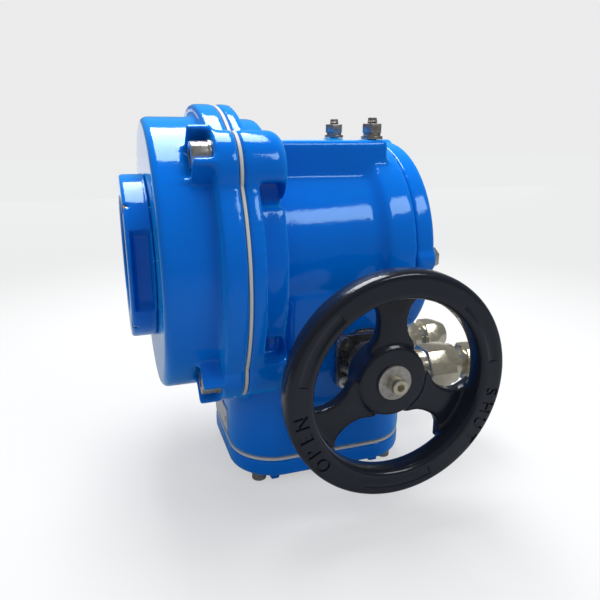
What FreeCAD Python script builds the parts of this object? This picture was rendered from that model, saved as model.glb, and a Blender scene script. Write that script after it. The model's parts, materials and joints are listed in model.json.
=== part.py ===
import FreeCAD, Part
import math
import os
import re

import Sketcher

# Quarter-turn electric valve actuator with a handwheel, in millimetres.
# The output axis is X. The origin is on that axis, in the face that seats on the valve, and the
# indicator window is on the -X side. The handwheel is on the -Y side and the part stands on -Z.

doc = FreeCAD.newDocument("electric_valve_actuator")
sheet = doc.addObject("Spreadsheet::Sheet", "sizes")
known = set()
parts = []

sizes = {
    # valve side
    "padProud": 3,  # raised valve pad above the base plate
    "plateThick": 11,  # base plate
    "plateInset": 0.5,  # base plate inside the edge of the rear ring
    "padRadius": 44,  # raised valve pad
    "recessRadius": 27.5,  # centring recess for the valve flange
    "recessDepth": 3,  # centring recess
    "valveCircle": 35,  # radius of the valve bolt circle
    "valveThread": 4,  # radius of the tapped valve holes
    "valveThreadDepth": 12,  # tapped valve holes
    "plateBoltIn": 2.5,  # base plate bolts inside the radius of the barrel
    "plateLugRadius": 8.5,  # lugs round the base plate bolts
    "plateEdge": 2,  # rounding of the base plate
    "spigotLength": 4,  # base plate spigot in the housing
    "bushBoss": 27,  # boss round the rear bush
    # main casting
    "ringLength": 16,  # rear ring
    "ringProud": 5,  # rear ring beyond the barrel
    "shoulderLength": 5,  # sloped shoulder in front of the rear ring
    "shoulderStep": 0.6,  # step between the shoulder and the rear ring
    "barrelRadius": 57,  # barrel
    "barrelWall": 8,  # wall of the barrel
    "barrelLength": 55,  # barrel
    "flareInset": 10,  # flare inside the edge of the flange
    "flareLength": 14,  # flare
    "flangeRadius": 84,  # main flange
    "flangeThick": 7.2,  # main flange
    "flangeDrop": 2.5,  # centre of the main flange below the output axis
    "housingWall": 5,  # casting wall
    "flareWall": 12,  # wall of the flare round the front chamber
    "partitionThick": 8,  # wall between the two chambers
    "earRadius": 18.7,  # ears round the cover bolts
    "earInset": 4.5,  # axes of the ears inside their bolts along Y
    "earDrop": 7.5,  # axes of the ears nearer the middle than their bolts along Z
    "earLength": 22.4,  # ears behind the gasket face
    "earEdge": 7,  # rounding of the rear end of an ear
    "boltInset": 27,  # cover bolts from the edge of the flange along Y, and the upper ones along Z
    "boltRaise": 1,  # lower cover bolts above their place square to the upper ones
    "reliefInner": 33,  # casting relief beside an ear, inner side
    "reliefHigh": 12,  # casting relief beside an ear
    "reliefDeep": 17,  # casting reliefs
    "ridgeTop": 63,  # top of the ridge that carries the stop screws
    "ridgeHalf": 36,  # half width of the ridge
    "ridgeEnd": 21.5,  # end of the ridge from the valve face
    "ridgeEdge": 2.5,  # rounding of the ridge
    "ridgeSunk": 2,  # ridge let into the flare
    "seatMargin": 0.3,  # machined seats beyond their washers
    "partitionAhead": 2,  # front of the partition inside the flare
    # worm block and lower housing
    "wormX": -41,  # worm axis
    "wheelPitch": 44,  # pitch radius of the worm wheel
    "wormPitch": 10,  # pitch radius of the worm
    "blockFront": 56,  # front face of the worm block from the middle plane
    "blockBack": 55,  # rear face of the worm block from the middle plane
    "blockTop": -12,  # top of the worm block
    "blockInset": 3,  # worm block inside the flare and the seam
    "blockEdge": 6,  # rounding of the worm block
    "blockSunk": 20,  # worm block let into the lower housing
    "wormRoom": 4.5,  # bore round the worm, beyond its pitch radius
    "gearSpace": 3,  # chambers round the gears, beyond their pitch radii
    "gearSide": 1.5,  # chambers beside the gears
    "roofWall": 1.5,  # wall between the worm bearings and the lower chamber
    "lowerAhead": 1.3,  # lower housing in front of the gasket face
    "lowerRight": -1,  # lower housing, valve side
    "lowerHalf": 48,  # half width of the lower housing
    "lowerClear": 0.5,  # top of the lower housing below the lugs of the base plate
    "lowerFace": -115.4,  # gasket face of the lower housing
    "lowerCorner": 28,  # corner radius of the lower housing
    "lowerBoltIn": 14.5,  # bottom cover bolts from the ends of the lower housing
    "lowerBoltAside": 36,  # bottom cover bolts from the middle plane
    "lowerBoss": 7,  # bosses for the bottom cover bolts
    "coverClear": 1.5,  # lower housing clear of the cover flange
    # indicator cover and window
    "gasketThick": 1.6,  # cover and bottom gaskets
    "gasketInset": 0.4,  # gasket edges inside the flanges
    "coverDepth": 38,  # cover from its gasket to its front
    "coverInset": 9.2,  # cover wall inside the edge of its flange
    "coverWall": 4.5,  # cover wall
    "coverTop": 5,  # cover front wall
    "coverFlange": 11,  # cover flange
    "coverEdge": 3.5,  # rounding of the cover front
    "lugLength": 10.5,  # bolt lugs in front of the cover flange
    "lugHalf": 12,  # half width of a bolt lug
    "lugPocket": 8.6,  # half width of the channel for a cover bolt head
    "lugInside": 7.6,  # channel of a lug from its bolt towards the output axis
    "lugOutside": 8.2,  # walls of a lug beyond its bolt
    "windowRadius": 45,  # window ring
    "windowHeight": 13.2,  # window ring
    "windowFoot": 0.5,  # foot of the window ring outside its wall
    "windowFootHigh": 1.2,  # foot of the window ring
    "windowBore": 32,  # open radius of the window ring
    "windowEdge": 1.5,  # rounding of the window ring
    "glassRadius": 34,  # window glass
    "glassThick": 4,  # window glass
    "sealThick": 5,  # window seal between the glass and the cover
    "windowScrewCircle": 41,  # radius of the window screw circle
    "pocketHalf": 17.5,  # half width of the floor of a finger pocket in the window ring
    "pocketFloor": 36.2,  # floors of the finger pockets from the axis
    "pocketMouth": 27,  # half width of a finger pocket at its mouth
    "pocketLand": 2.2,  # window ring in front of its finger pockets
    "screwSunk": 0.6,  # window screws below the front of their ring
    # bottom cover
    "bottomDepth": 11,  # bottom cover below its gasket
    "bottomWall": 4,  # bottom cover
    "bottomEdge": 3,  # rounding of the bottom cover
    "footDrop": 5.5,  # foot lugs below the bottom cover
    "footWide": 6,  # foot lugs along X
    "footLong": 10,  # foot lugs along Y
    "footAside": 6,  # foot lugs from their bolts along X
    # output train
    "boreRadius": 11,  # output bore
    "boreDepth": 50,  # output bore
    "boreRecess": 1,  # end of the sleeve below the centring recess
    "keyWide": 6,  # keyways
    "keyDeep": 2.8,  # keyways
    "journalRadius": 17,  # rear journal of the output sleeve
    "seatRadius": 18,  # seat of the worm wheel and the stop cam
    "collarRadius": 21,  # collar of the output sleeve
    "collarThick": 5,  # collar of the output sleeve
    "frontJournal": 15,  # front journal of the output sleeve
    "sleeveProud": 1,  # output sleeve in front of the partition
    "bushWall": 3,  # output bushes
    "bushLength": 15,  # rear bush
    "sealWide": 6,  # shaft seal along the axis
    "sealWall": 7,  # shaft seal
    "wheelWide": 16,  # worm wheel
    "wheelTeeth": 40,  # worm wheel
    "toothDeep": 2,  # teeth of the worm and the gears
    "meshGap": 0.2,  # between the teeth of two gears
    "camRadius": 36,  # stop cam
    "camThick": 6,  # stop cam
    "camHub": 4,  # hub of the stop cam round its seat
    "indicatorRadius": 6,  # indicator shaft
    "indicatorSpigot": 4,  # indicator shaft in the sleeve
    "indicatorSeat": 9,  # indicator shaft in the sleeve, length
    "dialRadius": 29,  # dial
    "dialThick": 2,  # dial
    "dialGap": 6,  # dial behind the cover's front wall
    "dialSeat": 3,  # seat of the dial on its shaft
    "dialCap": 2,  # head of the indicator shaft in front of the dial
    "limitCamRadius": 12,  # limit cams
    "limitCamThick": 5,  # limit cams
    "limitCamFlat": 8.4,  # flats of the limit cams from the axis
    "limitCamStart": -99,  # first limit cam
    "limitCamPitch": 11,  # between two limit cams
    "running": 0.05,  # radial clearance of a turning fit
    "fit": 0.1,  # clearance of a fixed fit
    "axial": 0.3,  # clearance between turning faces
    # handwheel and worm shaft
    "rimRadius": 60,  # handwheel rim
    "rimInner": 45.5,  # handwheel rim
    "rimFront": -102,  # front of the handwheel rim
    "rimDeep": 14,  # handwheel rim
    "rimEdge": 3,  # rounding of the handwheel rim
    "hubRadius": 19,  # handwheel hub
    "hubFront": -92,  # front of the handwheel hub
    "hubDeep": 16,  # handwheel hub
    "spokeWide": 17,  # handwheel spokes
    "spokeDeep": 7,  # handwheel spokes
    "spokeSet": 2,  # spokes behind the front of the hub
    "spokeEdge": 2.3,  # rounding of the spokes
    "spokeRoot": 9,  # inner ends of the spokes from the axis
    "hubKeyWide": 3,  # hub key
    "hubKeyHigh": 2.8,  # hub key
    "hubKeyDeep": 1.7,  # hub key in the shaft
    "hubKeyIn": 1,  # hub key from the ends of the hub
    "shaftRadius": 5,  # worm shaft in the hub and in the drive gear
    "bearingSeat": 6,  # worm shaft in its bearings
    "bearingRadius": 16,  # outer radius of the worm bearings
    "bearingWide": 10,  # worm bearings
    "bearingRing": 2.2,  # rings of the worm bearings
    "shieldIn": 1,  # shields behind the faces of the worm bearings
    "wormHalf": 20,  # half length of the worm
    "wormRelief": 7.5,  # worm shaft beside the worm
    "wormShoulder": 4,  # worm shaft between the worm and its rear bearing
    "threadSunk": 0.3,  # worm thread let into its core
    "shaftTail": 1,  # worm shaft behind the drive gear
    "gearPitch": 18,  # pitch radius of the drive gear
    "idlerPitch": 12,  # pitch radius of the idler
    "pinionPitch": 6,  # pitch radius of the motor pinion
    "gearModule": 1,  # spur gears
    "gearWide": 5,  # spur gears
    "gearGap": 2,  # drive gear behind the rear bearing
    "idlerAside": 20,  # idler axis beside the worm axis
    "motorDrop": 40,  # motor axis below the worm axis
    "idlerPin": 3,  # idler pin
    "pinReach": 5,  # idler pin behind the idler
    "motorRadius": 16,  # motor case
    "motorLength": 52,  # motor case
    "motorWall": 1.5,  # motor case
    "rotorRadius": 11,  # motor rotor
    "motorShaft": 2.5,  # motor shaft
    "rotorIn": 4,  # motor rotor from the ends of its case
    "mountThick": 3,  # motor bracket
    "mountHalf": 20,  # motor bracket either side of the motor
    "mountFoot": 12,  # foot of the motor bracket
    "mountHole": 5.5,  # hole in the motor bracket round the motor shaft
    "mountScrewAside": 12,  # motor bracket screws either side of the motor
    "mountScrewReach": 3.5,  # motor bracket screws in the housing
    "capRadius": 27,  # rear cap of the worm shaft
    "capThick": 4,  # rear cap of the worm shaft
    "capSpigot": 3,  # spigot of the rear cap
    "capScrewCircle": 23.5,  # radius of the rear cap's screw circle
    "bearingPlateWide": 36,  # hand shaft bearing plate along X
    "bearingPlateHigh": 30,  # hand shaft bearing plate along Z
    "bearingPlateThick": 4,  # hand shaft bearing plate
    "bearingPlateEdge": 3,  # corners of the bearing plate
    "bearingPlateScrewX": 14.2,  # bearing plate screws from the shaft along X
    "bearingPlateScrewZ": 11.2,  # bearing plate screws from the shaft along Z
    "bearingBoss": 11,  # boss of the bearing plate
    "bearingBossProud": 9,  # boss of the bearing plate
    # cable entries
    "nearGlandY": -31,  # near cable gland
    "nearGlandZ": -78,  # near cable gland
    "farGlandY": 20,  # far cable gland
    "farGlandZ": -78,  # far cable gland
    "glandFlats": 26,  # hexagon of a gland body
    "glandHexLong": 18,  # hexagon of a gland body
    "glandThread": 10,  # gland thread
    "glandThreadLong": 7,  # gland thread
    "glandBarrel": 11.5,  # gland body behind its hexagon
    "glandBarrelLong": 13,  # gland body behind its hexagon
    "glandCollar": 13,  # collar of a gland body
    "glandCollarLong": 3.5,  # collar of a gland body
    "glandNeck": 8.5,  # neck between a gland body and its clamping nut
    "glandNeckLong": 8,  # neck between a gland body and its clamping nut
    "glandNutFlats": 22,  # hexagon of a clamping nut
    "glandNutLong": 17,  # clamping nut
    "glandNutCone": 5,  # rounding cone of a clamping nut, outside its flats at the inner end
    "glandNutMouth": 2.5,  # the same cone inside the flats at the outer end
    "sleeveIn": 1,  # rubber sleeve inside the mouth of its nut
    "cableRadius": 5,  # cable hole of a gland
    "sleeveWall": 2.5,  # rubber sleeve in a gland
    # fasteners
    "coverBolt": 4,  # cover bolts
    "coverBoltHead": 6.5,  # cover bolt heads
    "coverBoltHigh": 8,  # cover bolt heads
    "coverWasher": 7.1,  # cover bolt washers
    "coverBoltReach": 18,  # cover bolts in the housing
    "plateBolt": 3,  # base plate bolts
    "plateBoltFlats": 10,  # base plate bolt heads
    "plateBoltHigh": 4,  # base plate bolt heads
    "plateBoltReach": 12,  # base plate bolts in the housing
    "stopScrew": 3,  # stop screws
    "camGap": 2,  # stop cam behind the worm wheel
    "stopHalf": 28,  # stop screws either side of the middle plane
    "stopProud": 12,  # stop screws above the ridge
    "stopNutFlats": 10,  # stop screw nuts
    "stopNutHigh": 5,  # stop screw nuts
    "stopWasher": 6,  # stop screw washers
    "springWasher": 4.8,  # stop screw spring washers
    "washerThick": 1.6,  # washers
    "seatPad": 0.6,  # machined seats under the stop washers
    "slotWide": 1.2,  # screwdriver slots of the stop screws
    "slotDeep": 1.5,  # screwdriver slots of the stop screws
    "springGap": 0.8,  # gap of a spring washer
    "smallScrew": 2,  # small screws
    "smallHead": 3.5,  # heads of the small screws
    "smallHeadHigh": 2.6,  # heads of the small screws
    "smallReach": 8,  # small screws in their threads
    "bottomBolt": 2.5,  # bottom cover bolts
    "bottomBoltHead": 4.25,  # bottom cover bolt heads
    "bottomBoltHigh": 5,  # bottom cover bolt heads
    "bottomBoltReach": 12,  # bottom cover bolts in the housing
    "wheelWasher": 9.2,  # handwheel washer
    "wheelWasherThick": 1.5,  # handwheel washer
    "wheelScrew": 2.5,  # handwheel screw
    "wheelScrewHead": 4.25,  # handwheel screw head
    "wheelScrewHigh": 6,  # handwheel screw head
    "wheelScrewReach": 10,  # handwheel screw in the shaft
    "coverSocket": 6,  # hexagon socket of a cover bolt, across its flats
    "smallSocket": 3.2,  # hexagon socket of a small screw
    "bottomSocket": 4,  # hexagon socket of a bottom cover bolt
    "wheelSocket": 4,  # hexagon socket of the handwheel screw
    "tapSpare": 1,  # threaded holes beyond their screws
    "over": 1,  # how far a cut runs past a face, and a joined piece runs into its neighbour
    # small inner pieces
    "bracketThick": 2,  # switch bracket
    "bracketHalf": 24,  # half width of the switch bracket
    "shelfLevel": -36,  # shelf of the switch bracket
    "shelfLong": 30,  # shelf of the switch bracket
    "bracketHigh": 18,  # upright of the switch bracket
    "bracketScrewY": 14,  # switch bracket screws from the middle plane
    "bracketScrewZ": 6,  # switch bracket screws above the shelf
    "bracketScrewReach": 5,  # switch bracket screws in the partition
    "buttonRadius": 1.5,  # buttons of the limit switches
    "switchHigh": 16,  # limit switches
    "switchWide": 8,  # limit switches
    "switchLong": 28,  # limit switches
    "boardThick": 1.6,  # control board
    "boardLong": 84,  # control board along X
    "boardHalf": 28,  # half width of the control board
    "standoffHigh": 4,  # standoffs under the control board
    "standoffRadius": 3,  # standoffs under the control board
    "standoffIn": 5,  # standoffs from the edges of the control board
    "terminalHigh": 15,  # terminal block
    "terminalWide": 18,  # terminal block
    "terminalHalf": 24,  # half length of the terminal block
    "terminalIn": 9,  # terminal block from the end of the control board
    "terminalSlots": 6,  # slots of the terminal block
    "terminalSlotWide": 1,  # slots of the terminal block
    "terminalSlotDeep": 4,  # slots of the terminal block
    "capacitorRadius": 7,  # motor capacitor
    "capacitorHigh": 26,  # motor capacitor
    "capacitorIn": 2,  # motor capacitor from the end of the control board
    "labelHalf": 18,  # half width of the label plate
    "labelHigh": 15,  # label plate
    "labelBelow": 8.5,  # label plate below the main flange
    "labelThick": 0.6,  # label plate
    "rivetRadius": 1.2,  # label rivets
    "rivetHead": 1.9,  # heads of the label rivets
    "rivetHeadHigh": 0.8,  # heads of the label rivets
    "rivetReach": 2.5,  # label rivets in the housing
    "rivetIn": 3,  # label rivets from the ends of the plate
}
formulas = {
    "ringRadius": "=barrelRadius + ringProud",  # rear ring
    "plateRadius": "=ringRadius - plateInset",  # base plate
    "plateBoltCircle": "=barrelRadius - plateBoltIn",  # radius of the base plate bolt circle
    "flareRadius": "=flangeRadius - flareInset",  # flare behind the flange
    "chamberRadius": "=flareRadius - flareWall",  # front chamber
    "reliefFloor": "=flareRadius - reliefDeep",  # floor of a casting relief from the middle plane
    # cover bolts from the output axis along Y, and the upper ones along Z
    "boltOffset": "=flangeRadius - boltInset",
    "boltLower": "=boltOffset - boltRaise",  # lower cover bolts below the output axis
    "earSide": "=boltOffset - earInset",  # ears from the middle plane
    "earUpper": "=boltOffset - earDrop",  # upper ears above the output axis
    "earLower": "=boltLower - earDrop",  # lower ears below the output axis
    "coverRadius": "=flangeRadius - coverInset",  # cover wall
    "labelTop": "=-flangeDrop - flangeRadius - labelBelow",  # top of the label plate
    "plateFace": "=-padProud",  # outer face of the base plate
    "seam": "=plateFace - plateThick",  # base plate on the housing
    "shoulder": "=seam - ringLength",  # front of the rear ring
    "barrelEnd": "=shoulder - shoulderLength",  # rear of the barrel
    "flareEnd": "=barrelEnd - barrelLength",  # rear of the flare
    "flangeBack": "=flareEnd - flareLength",  # rear of the main flange
    "gasketFace": "=flangeBack - flangeThick",  # gasket face of the housing
    "coverFace": "=gasketFace - gasketThick",  # gasket face of the cover
    "lowerLeft": "=gasketFace - lowerAhead",  # lower housing, window side
    "lowerTop": "=-plateBoltCircle - plateLugRadius - lowerClear",  # top of the lower housing
    "coverFlangeFront": "=coverFace - coverFlange",  # front of the cover flange
    "coverFront": "=coverFace - coverDepth",  # front of the cover
    "coverInner": "=coverRadius - coverWall",  # inside of the cover wall
    "windowFront": "=coverFront - windowHeight",  # front of the window ring
    "glassBack": "=coverFront - sealThick",  # rear of the glass
    "windowScrewOffset": "=windowScrewCircle * cos(45 deg)",  # window screws along Y and Z
    "pocketDepth": "=windowRadius - pocketFloor + over",  # finger pockets, from their mouths
    "barrelInner": "=barrelRadius - barrelWall",  # gear chamber
    "partitionFront": "=flareEnd - partitionAhead",  # front of the partition
    "partitionBack": "=partitionFront + partitionThick",  # rear of the partition
    "valveOffset": "=valveCircle * cos(45 deg)",  # valve holes along Y and along Z
    "sleeveEnd": "=-recessDepth - boreRecess",  # valve end of the output sleeve
    "sealBack": "=-recessDepth - sealWide",  # inner face of the shaft seal
    "bushBack": "=sealBack - bushLength",  # inner end of the rear bush
    "wheelFront": "=wormX - wheelWide / 2",  # window side of the worm wheel
    "wheelBack": "=wormX + wheelWide / 2",  # valve side of the worm wheel
    "stopX": "=wheelBack + camGap + camThick / 2",  # stop screws and the stop cam
    "wheelTip": "=wheelPitch - meshGap / 2",  # worm wheel tips
    "wormTip": "=wormPitch - meshGap / 2",  # worm thread crest
    "wormRoot": "=wormTip - toothDeep",  # worm thread root
    "wormZ": "=-wheelPitch - wormPitch",  # worm axis
    "wormBore": "=wormPitch + wormRoom",  # bore round the worm
    "frontBearing": "=-blockFront",  # front face of the front bearing
    "rearBearing": "=wormHalf + wormShoulder",  # front face of the rear bearing
    "gearStart": "=rearBearing + bearingWide + gearGap",  # front face of the spur gears
    "gearEnd": "=gearStart + gearWide",  # rear face of the spur gears
    "gearRoom": "=gearPitch + gearSpace",  # chamber round the drive gear
    "idlerRoom": "=idlerPitch + gearSpace",  # chamber round the idler
    "idlerX": "=wormX - idlerAside",  # idler axis
    "idlerDrop": "=sqrt((gearPitch + idlerPitch) ^ 2 - idlerAside ^ 2)",  # idler axis below the worm axis
    "idlerZ": "=wormZ - idlerDrop",  # idler axis
    "motorZ": "=wormZ - motorDrop",  # motor axis
    # motor axis beside the idler
    "motorAside": "=sqrt((idlerPitch + pinionPitch) ^ 2 - (motorDrop - idlerDrop) ^ 2)",
    "capScrewOffset": "=capScrewCircle * cos(45 deg)",  # rear cap screws along X and along Z
    "motorX": "=idlerX - motorAside",  # motor axis
    "mountBack": "=gearStart - gearGap",  # gear side of the motor bracket
    "mountFront": "=mountBack - mountThick",  # motor side of the motor bracket
    "lowerInner": "=lowerHalf - housingWall",  # inside of the lower housing
    "lowerRoof": "=wormZ - bearingRadius - roofWall",  # roof of the lower housing, under the bearings
    "lowerInnerCorner": "=lowerCorner - housingWall",  # inner corners of the lower housing
    "lowerBoltLeft": "=lowerLeft + lowerBoltIn",  # bottom cover bolts, window side
    "lowerBoltRight": "=lowerRight - lowerBoltIn",  # bottom cover bolts, valve side
    "bottomTop": "=lowerFace - gasketThick",  # top of the bottom cover
    "bottomFace": "=bottomTop - bottomDepth",  # underside of the bottom cover
    "bottomFloor": "=bottomFace + bottomWall",  # floor of the bottom cover
    "boardLevel": "=bottomFloor + standoffHigh",  # underside of the control board
    "boardTop": "=boardLevel + boardThick",  # top of the control board
    "boardStart": "=(lowerLeft + lowerRight - boardLong) / 2",  # window end of the control board
    "dialBack": "=coverFront + coverTop + dialGap",  # rear of the dial
    "dialFront": "=dialBack - dialThick",  # front of the dial
    "sleeveFront": "=partitionFront - sleeveProud",  # window end of the output sleeve
    "rimBack": "=rimFront + rimDeep",  # rear of the handwheel rim
    "hubBack": "=hubFront + hubDeep",  # rear of the handwheel hub
    "bearingPlateFront": "=-blockFront - bearingPlateThick",  # front of the bearing plate
    "bossFront": "=bearingPlateFront - bearingBossProud",  # front of the bearing plate's boss
    "glandHexStart": "=lowerRight + glandBarrelLong",  # hexagon of a gland body
    "glandRoot": "=lowerRight - glandThreadLong",  # inner end of the gland threads
    "glandHexEnd": "=glandHexStart + glandHexLong",  # hexagon of a gland body
    "glandCollarEnd": "=glandHexEnd + glandCollarLong",  # collar of a gland body
    "glandNutStart": "=glandCollarEnd + glandNeckLong",  # clamping nut of a gland
    "springLevel": "=ridgeTop + seatPad + washerThick",  # underside of the spring washers
    "stopNutLevel": "=springLevel + washerThick",  # underside of the stop screw nuts
    "coverBoltSeat": "=coverFlangeFront - washerThick",  # underside of the cover bolt heads
}


# Puts each value or formula in the sheet, with its name beside it and as its alias.
def fillSheet(table):
    for name, value in table.items():
        known.add(name)
        line = len(known)
        sheet.set("A%d" % line, name)
        sheet.set("B%d" % line, str(value))
        sheet.setAlias("B%d" % line, name)
    doc.recompute()


fillSheet(sizes)
fillSheet(formulas)


# A name of the sheet in a formula gets the sheet's prefix.
def named(text):
    return re.sub(r"[A-Za-z]\w*", lambda word: ("sizes." if word.group() in known else "") + word.group(),
                  text)


# The number that a formula stands for.
def number(text):
    value = sheet.evalExpression(named(text))
    return float(getattr(value, "Value", value))


vector = FreeCAD.Vector
turns = {
    "x": FreeCAD.Rotation(vector(0, 1, 0), 90),
    "-x": FreeCAD.Rotation(vector(0, 1, 0), -90),
    "y": FreeCAD.Rotation(vector(1, 0, 0), -90),
    "-y": FreeCAD.Rotation(vector(1, 0, 0), 90),
    "z": FreeCAD.Rotation(),
    "-z": FreeCAD.Rotation(vector(1, 0, 0), 180),
}
quadrants = [("-", "-"), ("-", "+"), ("+", "-"), ("+", "+")]
coverBoltPlaces = [(y + "boltOffset", z) for y in ("-", "") for z in ("-boltLower", "boltOffset")]
earPlaces = [(y + "earSide", z) for y in ("-", "") for z in ("-earLower", "earUpper")]
plateBoltPlaces = [("-plateBoltCircle", "0"), ("plateBoltCircle", "0"), ("0", "-plateBoltCircle"),
                   ("0", "plateBoltCircle")]
closeBy = 0.1  # places nearer than this are the same
rootShare = 0.34  # half widths of a tooth at its root and at its tip, as shares of the pitch
tipShare = 0.16


# Puts an object's own origin at a place given by three formulas.
def put(thing, x, y, z, rotation=FreeCAD.Rotation()):
    thing.Placement = FreeCAD.Placement(vector(0, 0, 0), rotation)
    for side, text in zip("xyz", (x, y, z)):
        thing.setExpression("Placement.Base." + side, named(text))
    return thing


def sized(kind, name, **formulas):
    thing = doc.addObject(kind, name)
    for quality, text in formulas.items():
        thing.setExpression(quality, named(text))
    return thing


def rod(radius, length, x, y, z, axis):
    return put(sized("Part::Cylinder", "rod", Radius=radius, Height=length), x, y, z, turns[axis])


def taper(first, second, length, x, y, z, axis):
    return put(sized("Part::Cone", "taper", Radius1=first, Radius2=second, Height=length), x, y, z,
               turns[axis])


def block(wide, deep, high, x, y, z, rotation=FreeCAD.Rotation()):
    return put(sized("Part::Box", "block", Length=wide, Width=deep, Height=high), x, y, z, rotation)


# A hexagonal prism, given by the width across its flats.
def hexagon(flats, length, x, y, z, axis):
    prism = sized("Part::Prism", "hexagon", Circumradius="(%s) / 2 / cos(30 deg)" % flats, Height=length)
    prism.Polygon = 6
    return put(prism, x, y, z, turns[axis])


def join(*pieces):
    if len(pieces) == 1:
        return pieces[0]
    whole = doc.addObject("Part::MultiFuse", "join")
    whole.Shapes = list(pieces)
    return whole


def cut(base, *tools):
    rest = doc.addObject("Part::Cut", "cut")
    rest.Base = base
    rest.Tool = join(*tools)
    return rest


# Identical pieces that stay separate solids of one sub-part.
def together(pieces):
    whole = doc.addObject("Part::Compound", "together")
    whole.Links = list(pieces)
    return whole


# Rounds the edges that a test picks.
def rounded(base, radius, wanted):
    doc.recompute()
    size = number(radius)
    soft = doc.addObject("Part::Fillet", "rounded")
    soft.Base = base
    soft.Edges = [(i + 1, size, size) for i, edge in enumerate(base.Shape.Edges) if wanted(edge)]
    return soft


def runsAlong(edge, axis):
    ends = edge.Vertexes
    if len(ends) < 2 or "Line" not in edge.Curve.TypeId:
        return False
    way = ends[1].Point - ends[0].Point
    return way.Length - abs(getattr(way, axis)) < closeBy


def level(edge, axis, place):
    box = edge.BoundBox
    low = getattr(box, axis.upper() + "Min")
    high = getattr(box, axis.upper() + "Max")
    return abs(low - place) < closeBy and abs(high - place) < closeBy


# A closed outline in a sketch, with every corner tied to the sheet.
def drawOutline(sketch, points):
    corners = [vector(number(u), number(v), 0) for u, v in points]
    count = len(corners)
    for i in range(count):
        sketch.addGeometry(Part.LineSegment(corners[i], corners[(i + 1) % count]), False)
    for i in range(count):
        sketch.addConstraint(Sketcher.Constraint("Coincident", i, 2, (i + 1) % count, 1))
    for i, (u, v) in enumerate(points):
        for kind, text in (("DistanceX", u), ("DistanceY", v)):
            line = sketch.addConstraint(Sketcher.Constraint(kind, -1, 1, i, 1, number(text)))
            sketch.setExpression("Constraints[%d]" % line, named(text))


# A turned piece. Its outline is a list of places along the axis and radii.
def turned(axis, outline, x="0", y="0", z="0"):
    body = doc.addObject("PartDesign::Body", "turned")
    sketch = body.newObject("Sketcher::SketchObject", "profile")
    role = "XZ_Plane" if axis == "z" else "XY_Plane"
    plane = next(item for item in body.Origin.OriginFeatures if item.Role == role)
    sketch.AttachmentSupport = [(plane, "")]
    sketch.MapMode = "FlatFace"
    drawOutline(sketch, outline if axis == "x" else [(radius, along) for along, radius in outline])
    revolution = body.newObject("PartDesign::Revolution", "revolution")
    revolution.Profile = sketch
    revolution.ReferenceAxis = (sketch, ["H_Axis" if axis == "x" else "V_Axis"])
    revolution.Angle = 360
    body.Tip = revolution
    put(body, x, y, z)
    return body


# Rounds edges of a turned piece.
def softened(body, radius, wanted):
    doc.recompute()
    base = body.Tip
    names = ["Edge%d" % (i + 1) for i, edge in enumerate(base.Shape.Edges) if wanted(edge)]
    soft = body.newObject("PartDesign::Fillet", "softened")
    soft.Base = (base, names)
    soft.setExpression("Radius", named(radius))
    body.Tip = soft
    return body


def tube(axis, start, end, inner, outer, x="0", y="0", z="0"):
    return turned(axis, [(start, inner), (end, inner), (end, outer), (start, outer)], x, y, z)


def finish(label, thing):
    thing.Label = label
    parts.append(thing)
    return thing


# A box with rounded upright corners.
def roundedBox(left, right, half, bottom, top, corner):
    raw = block("(%s) - (%s)" % (right, left), "2 * (%s)" % half, "(%s) - (%s)" % (top, bottom), left,
                "-(%s)" % half, bottom)
    return rounded(raw, corner, lambda edge: runsAlong(edge, "z"))


# A cap screw from the seat of its head: shank, head and hexagon socket.
def capScrew(shank, reach, head, high, flats, x, y, z, axis):
    away = {"x": "-x", "-x": "x", "y": "-y", "-y": "y", "z": "-z", "-z": "z"}[axis]
    sign = "-" if axis[0] == "-" else "+"
    side = axis[-1]
    place = dict(x=x, y=y, z=z)
    outer = dict(place)
    outer[side] = "(%s) %s -(%s)" % (place[side], sign, high)
    solid = join(rod(shank, reach, x, y, z, axis), rod(head, high, x, y, z, away))
    socket = hexagon(flats, "(%s) / 2" % high, outer["x"], outer["y"], outer["z"], axis)
    return cut(solid, socket)


# A gear blank with plain teeth, whose tips stand inside the pitch circle by half the mesh gap.
def gear(teeth, tip, bore, start, wide, axis, x, y, z, phase=0.0):
    outer = number(tip)
    inner = outer - number("toothDeep")
    points = []
    for i in range(teeth):
        for share, radius in ((-rootShare, inner), (-tipShare, outer), (tipShare, outer),
                              (rootShare, inner)):
            angle = 2 * math.pi * (i + share + phase) / teeth
            points.append(vector(radius * math.cos(angle), radius * math.sin(angle), 0))
    points.append(points[0])
    face = Part.Face(Part.makePolygon(points))
    solid = face.extrude(vector(0, 0, number(wide)))
    solid = solid.cut(Part.makeCylinder(number(bore), number(wide)))
    piece = doc.addObject("Part::Feature", "gear")
    piece.Shape = solid
    place = dict(x=x, y=y, z=z)
    place[axis] = start
    return put(piece, place["x"], place["y"], place["z"], turns[axis])


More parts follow.
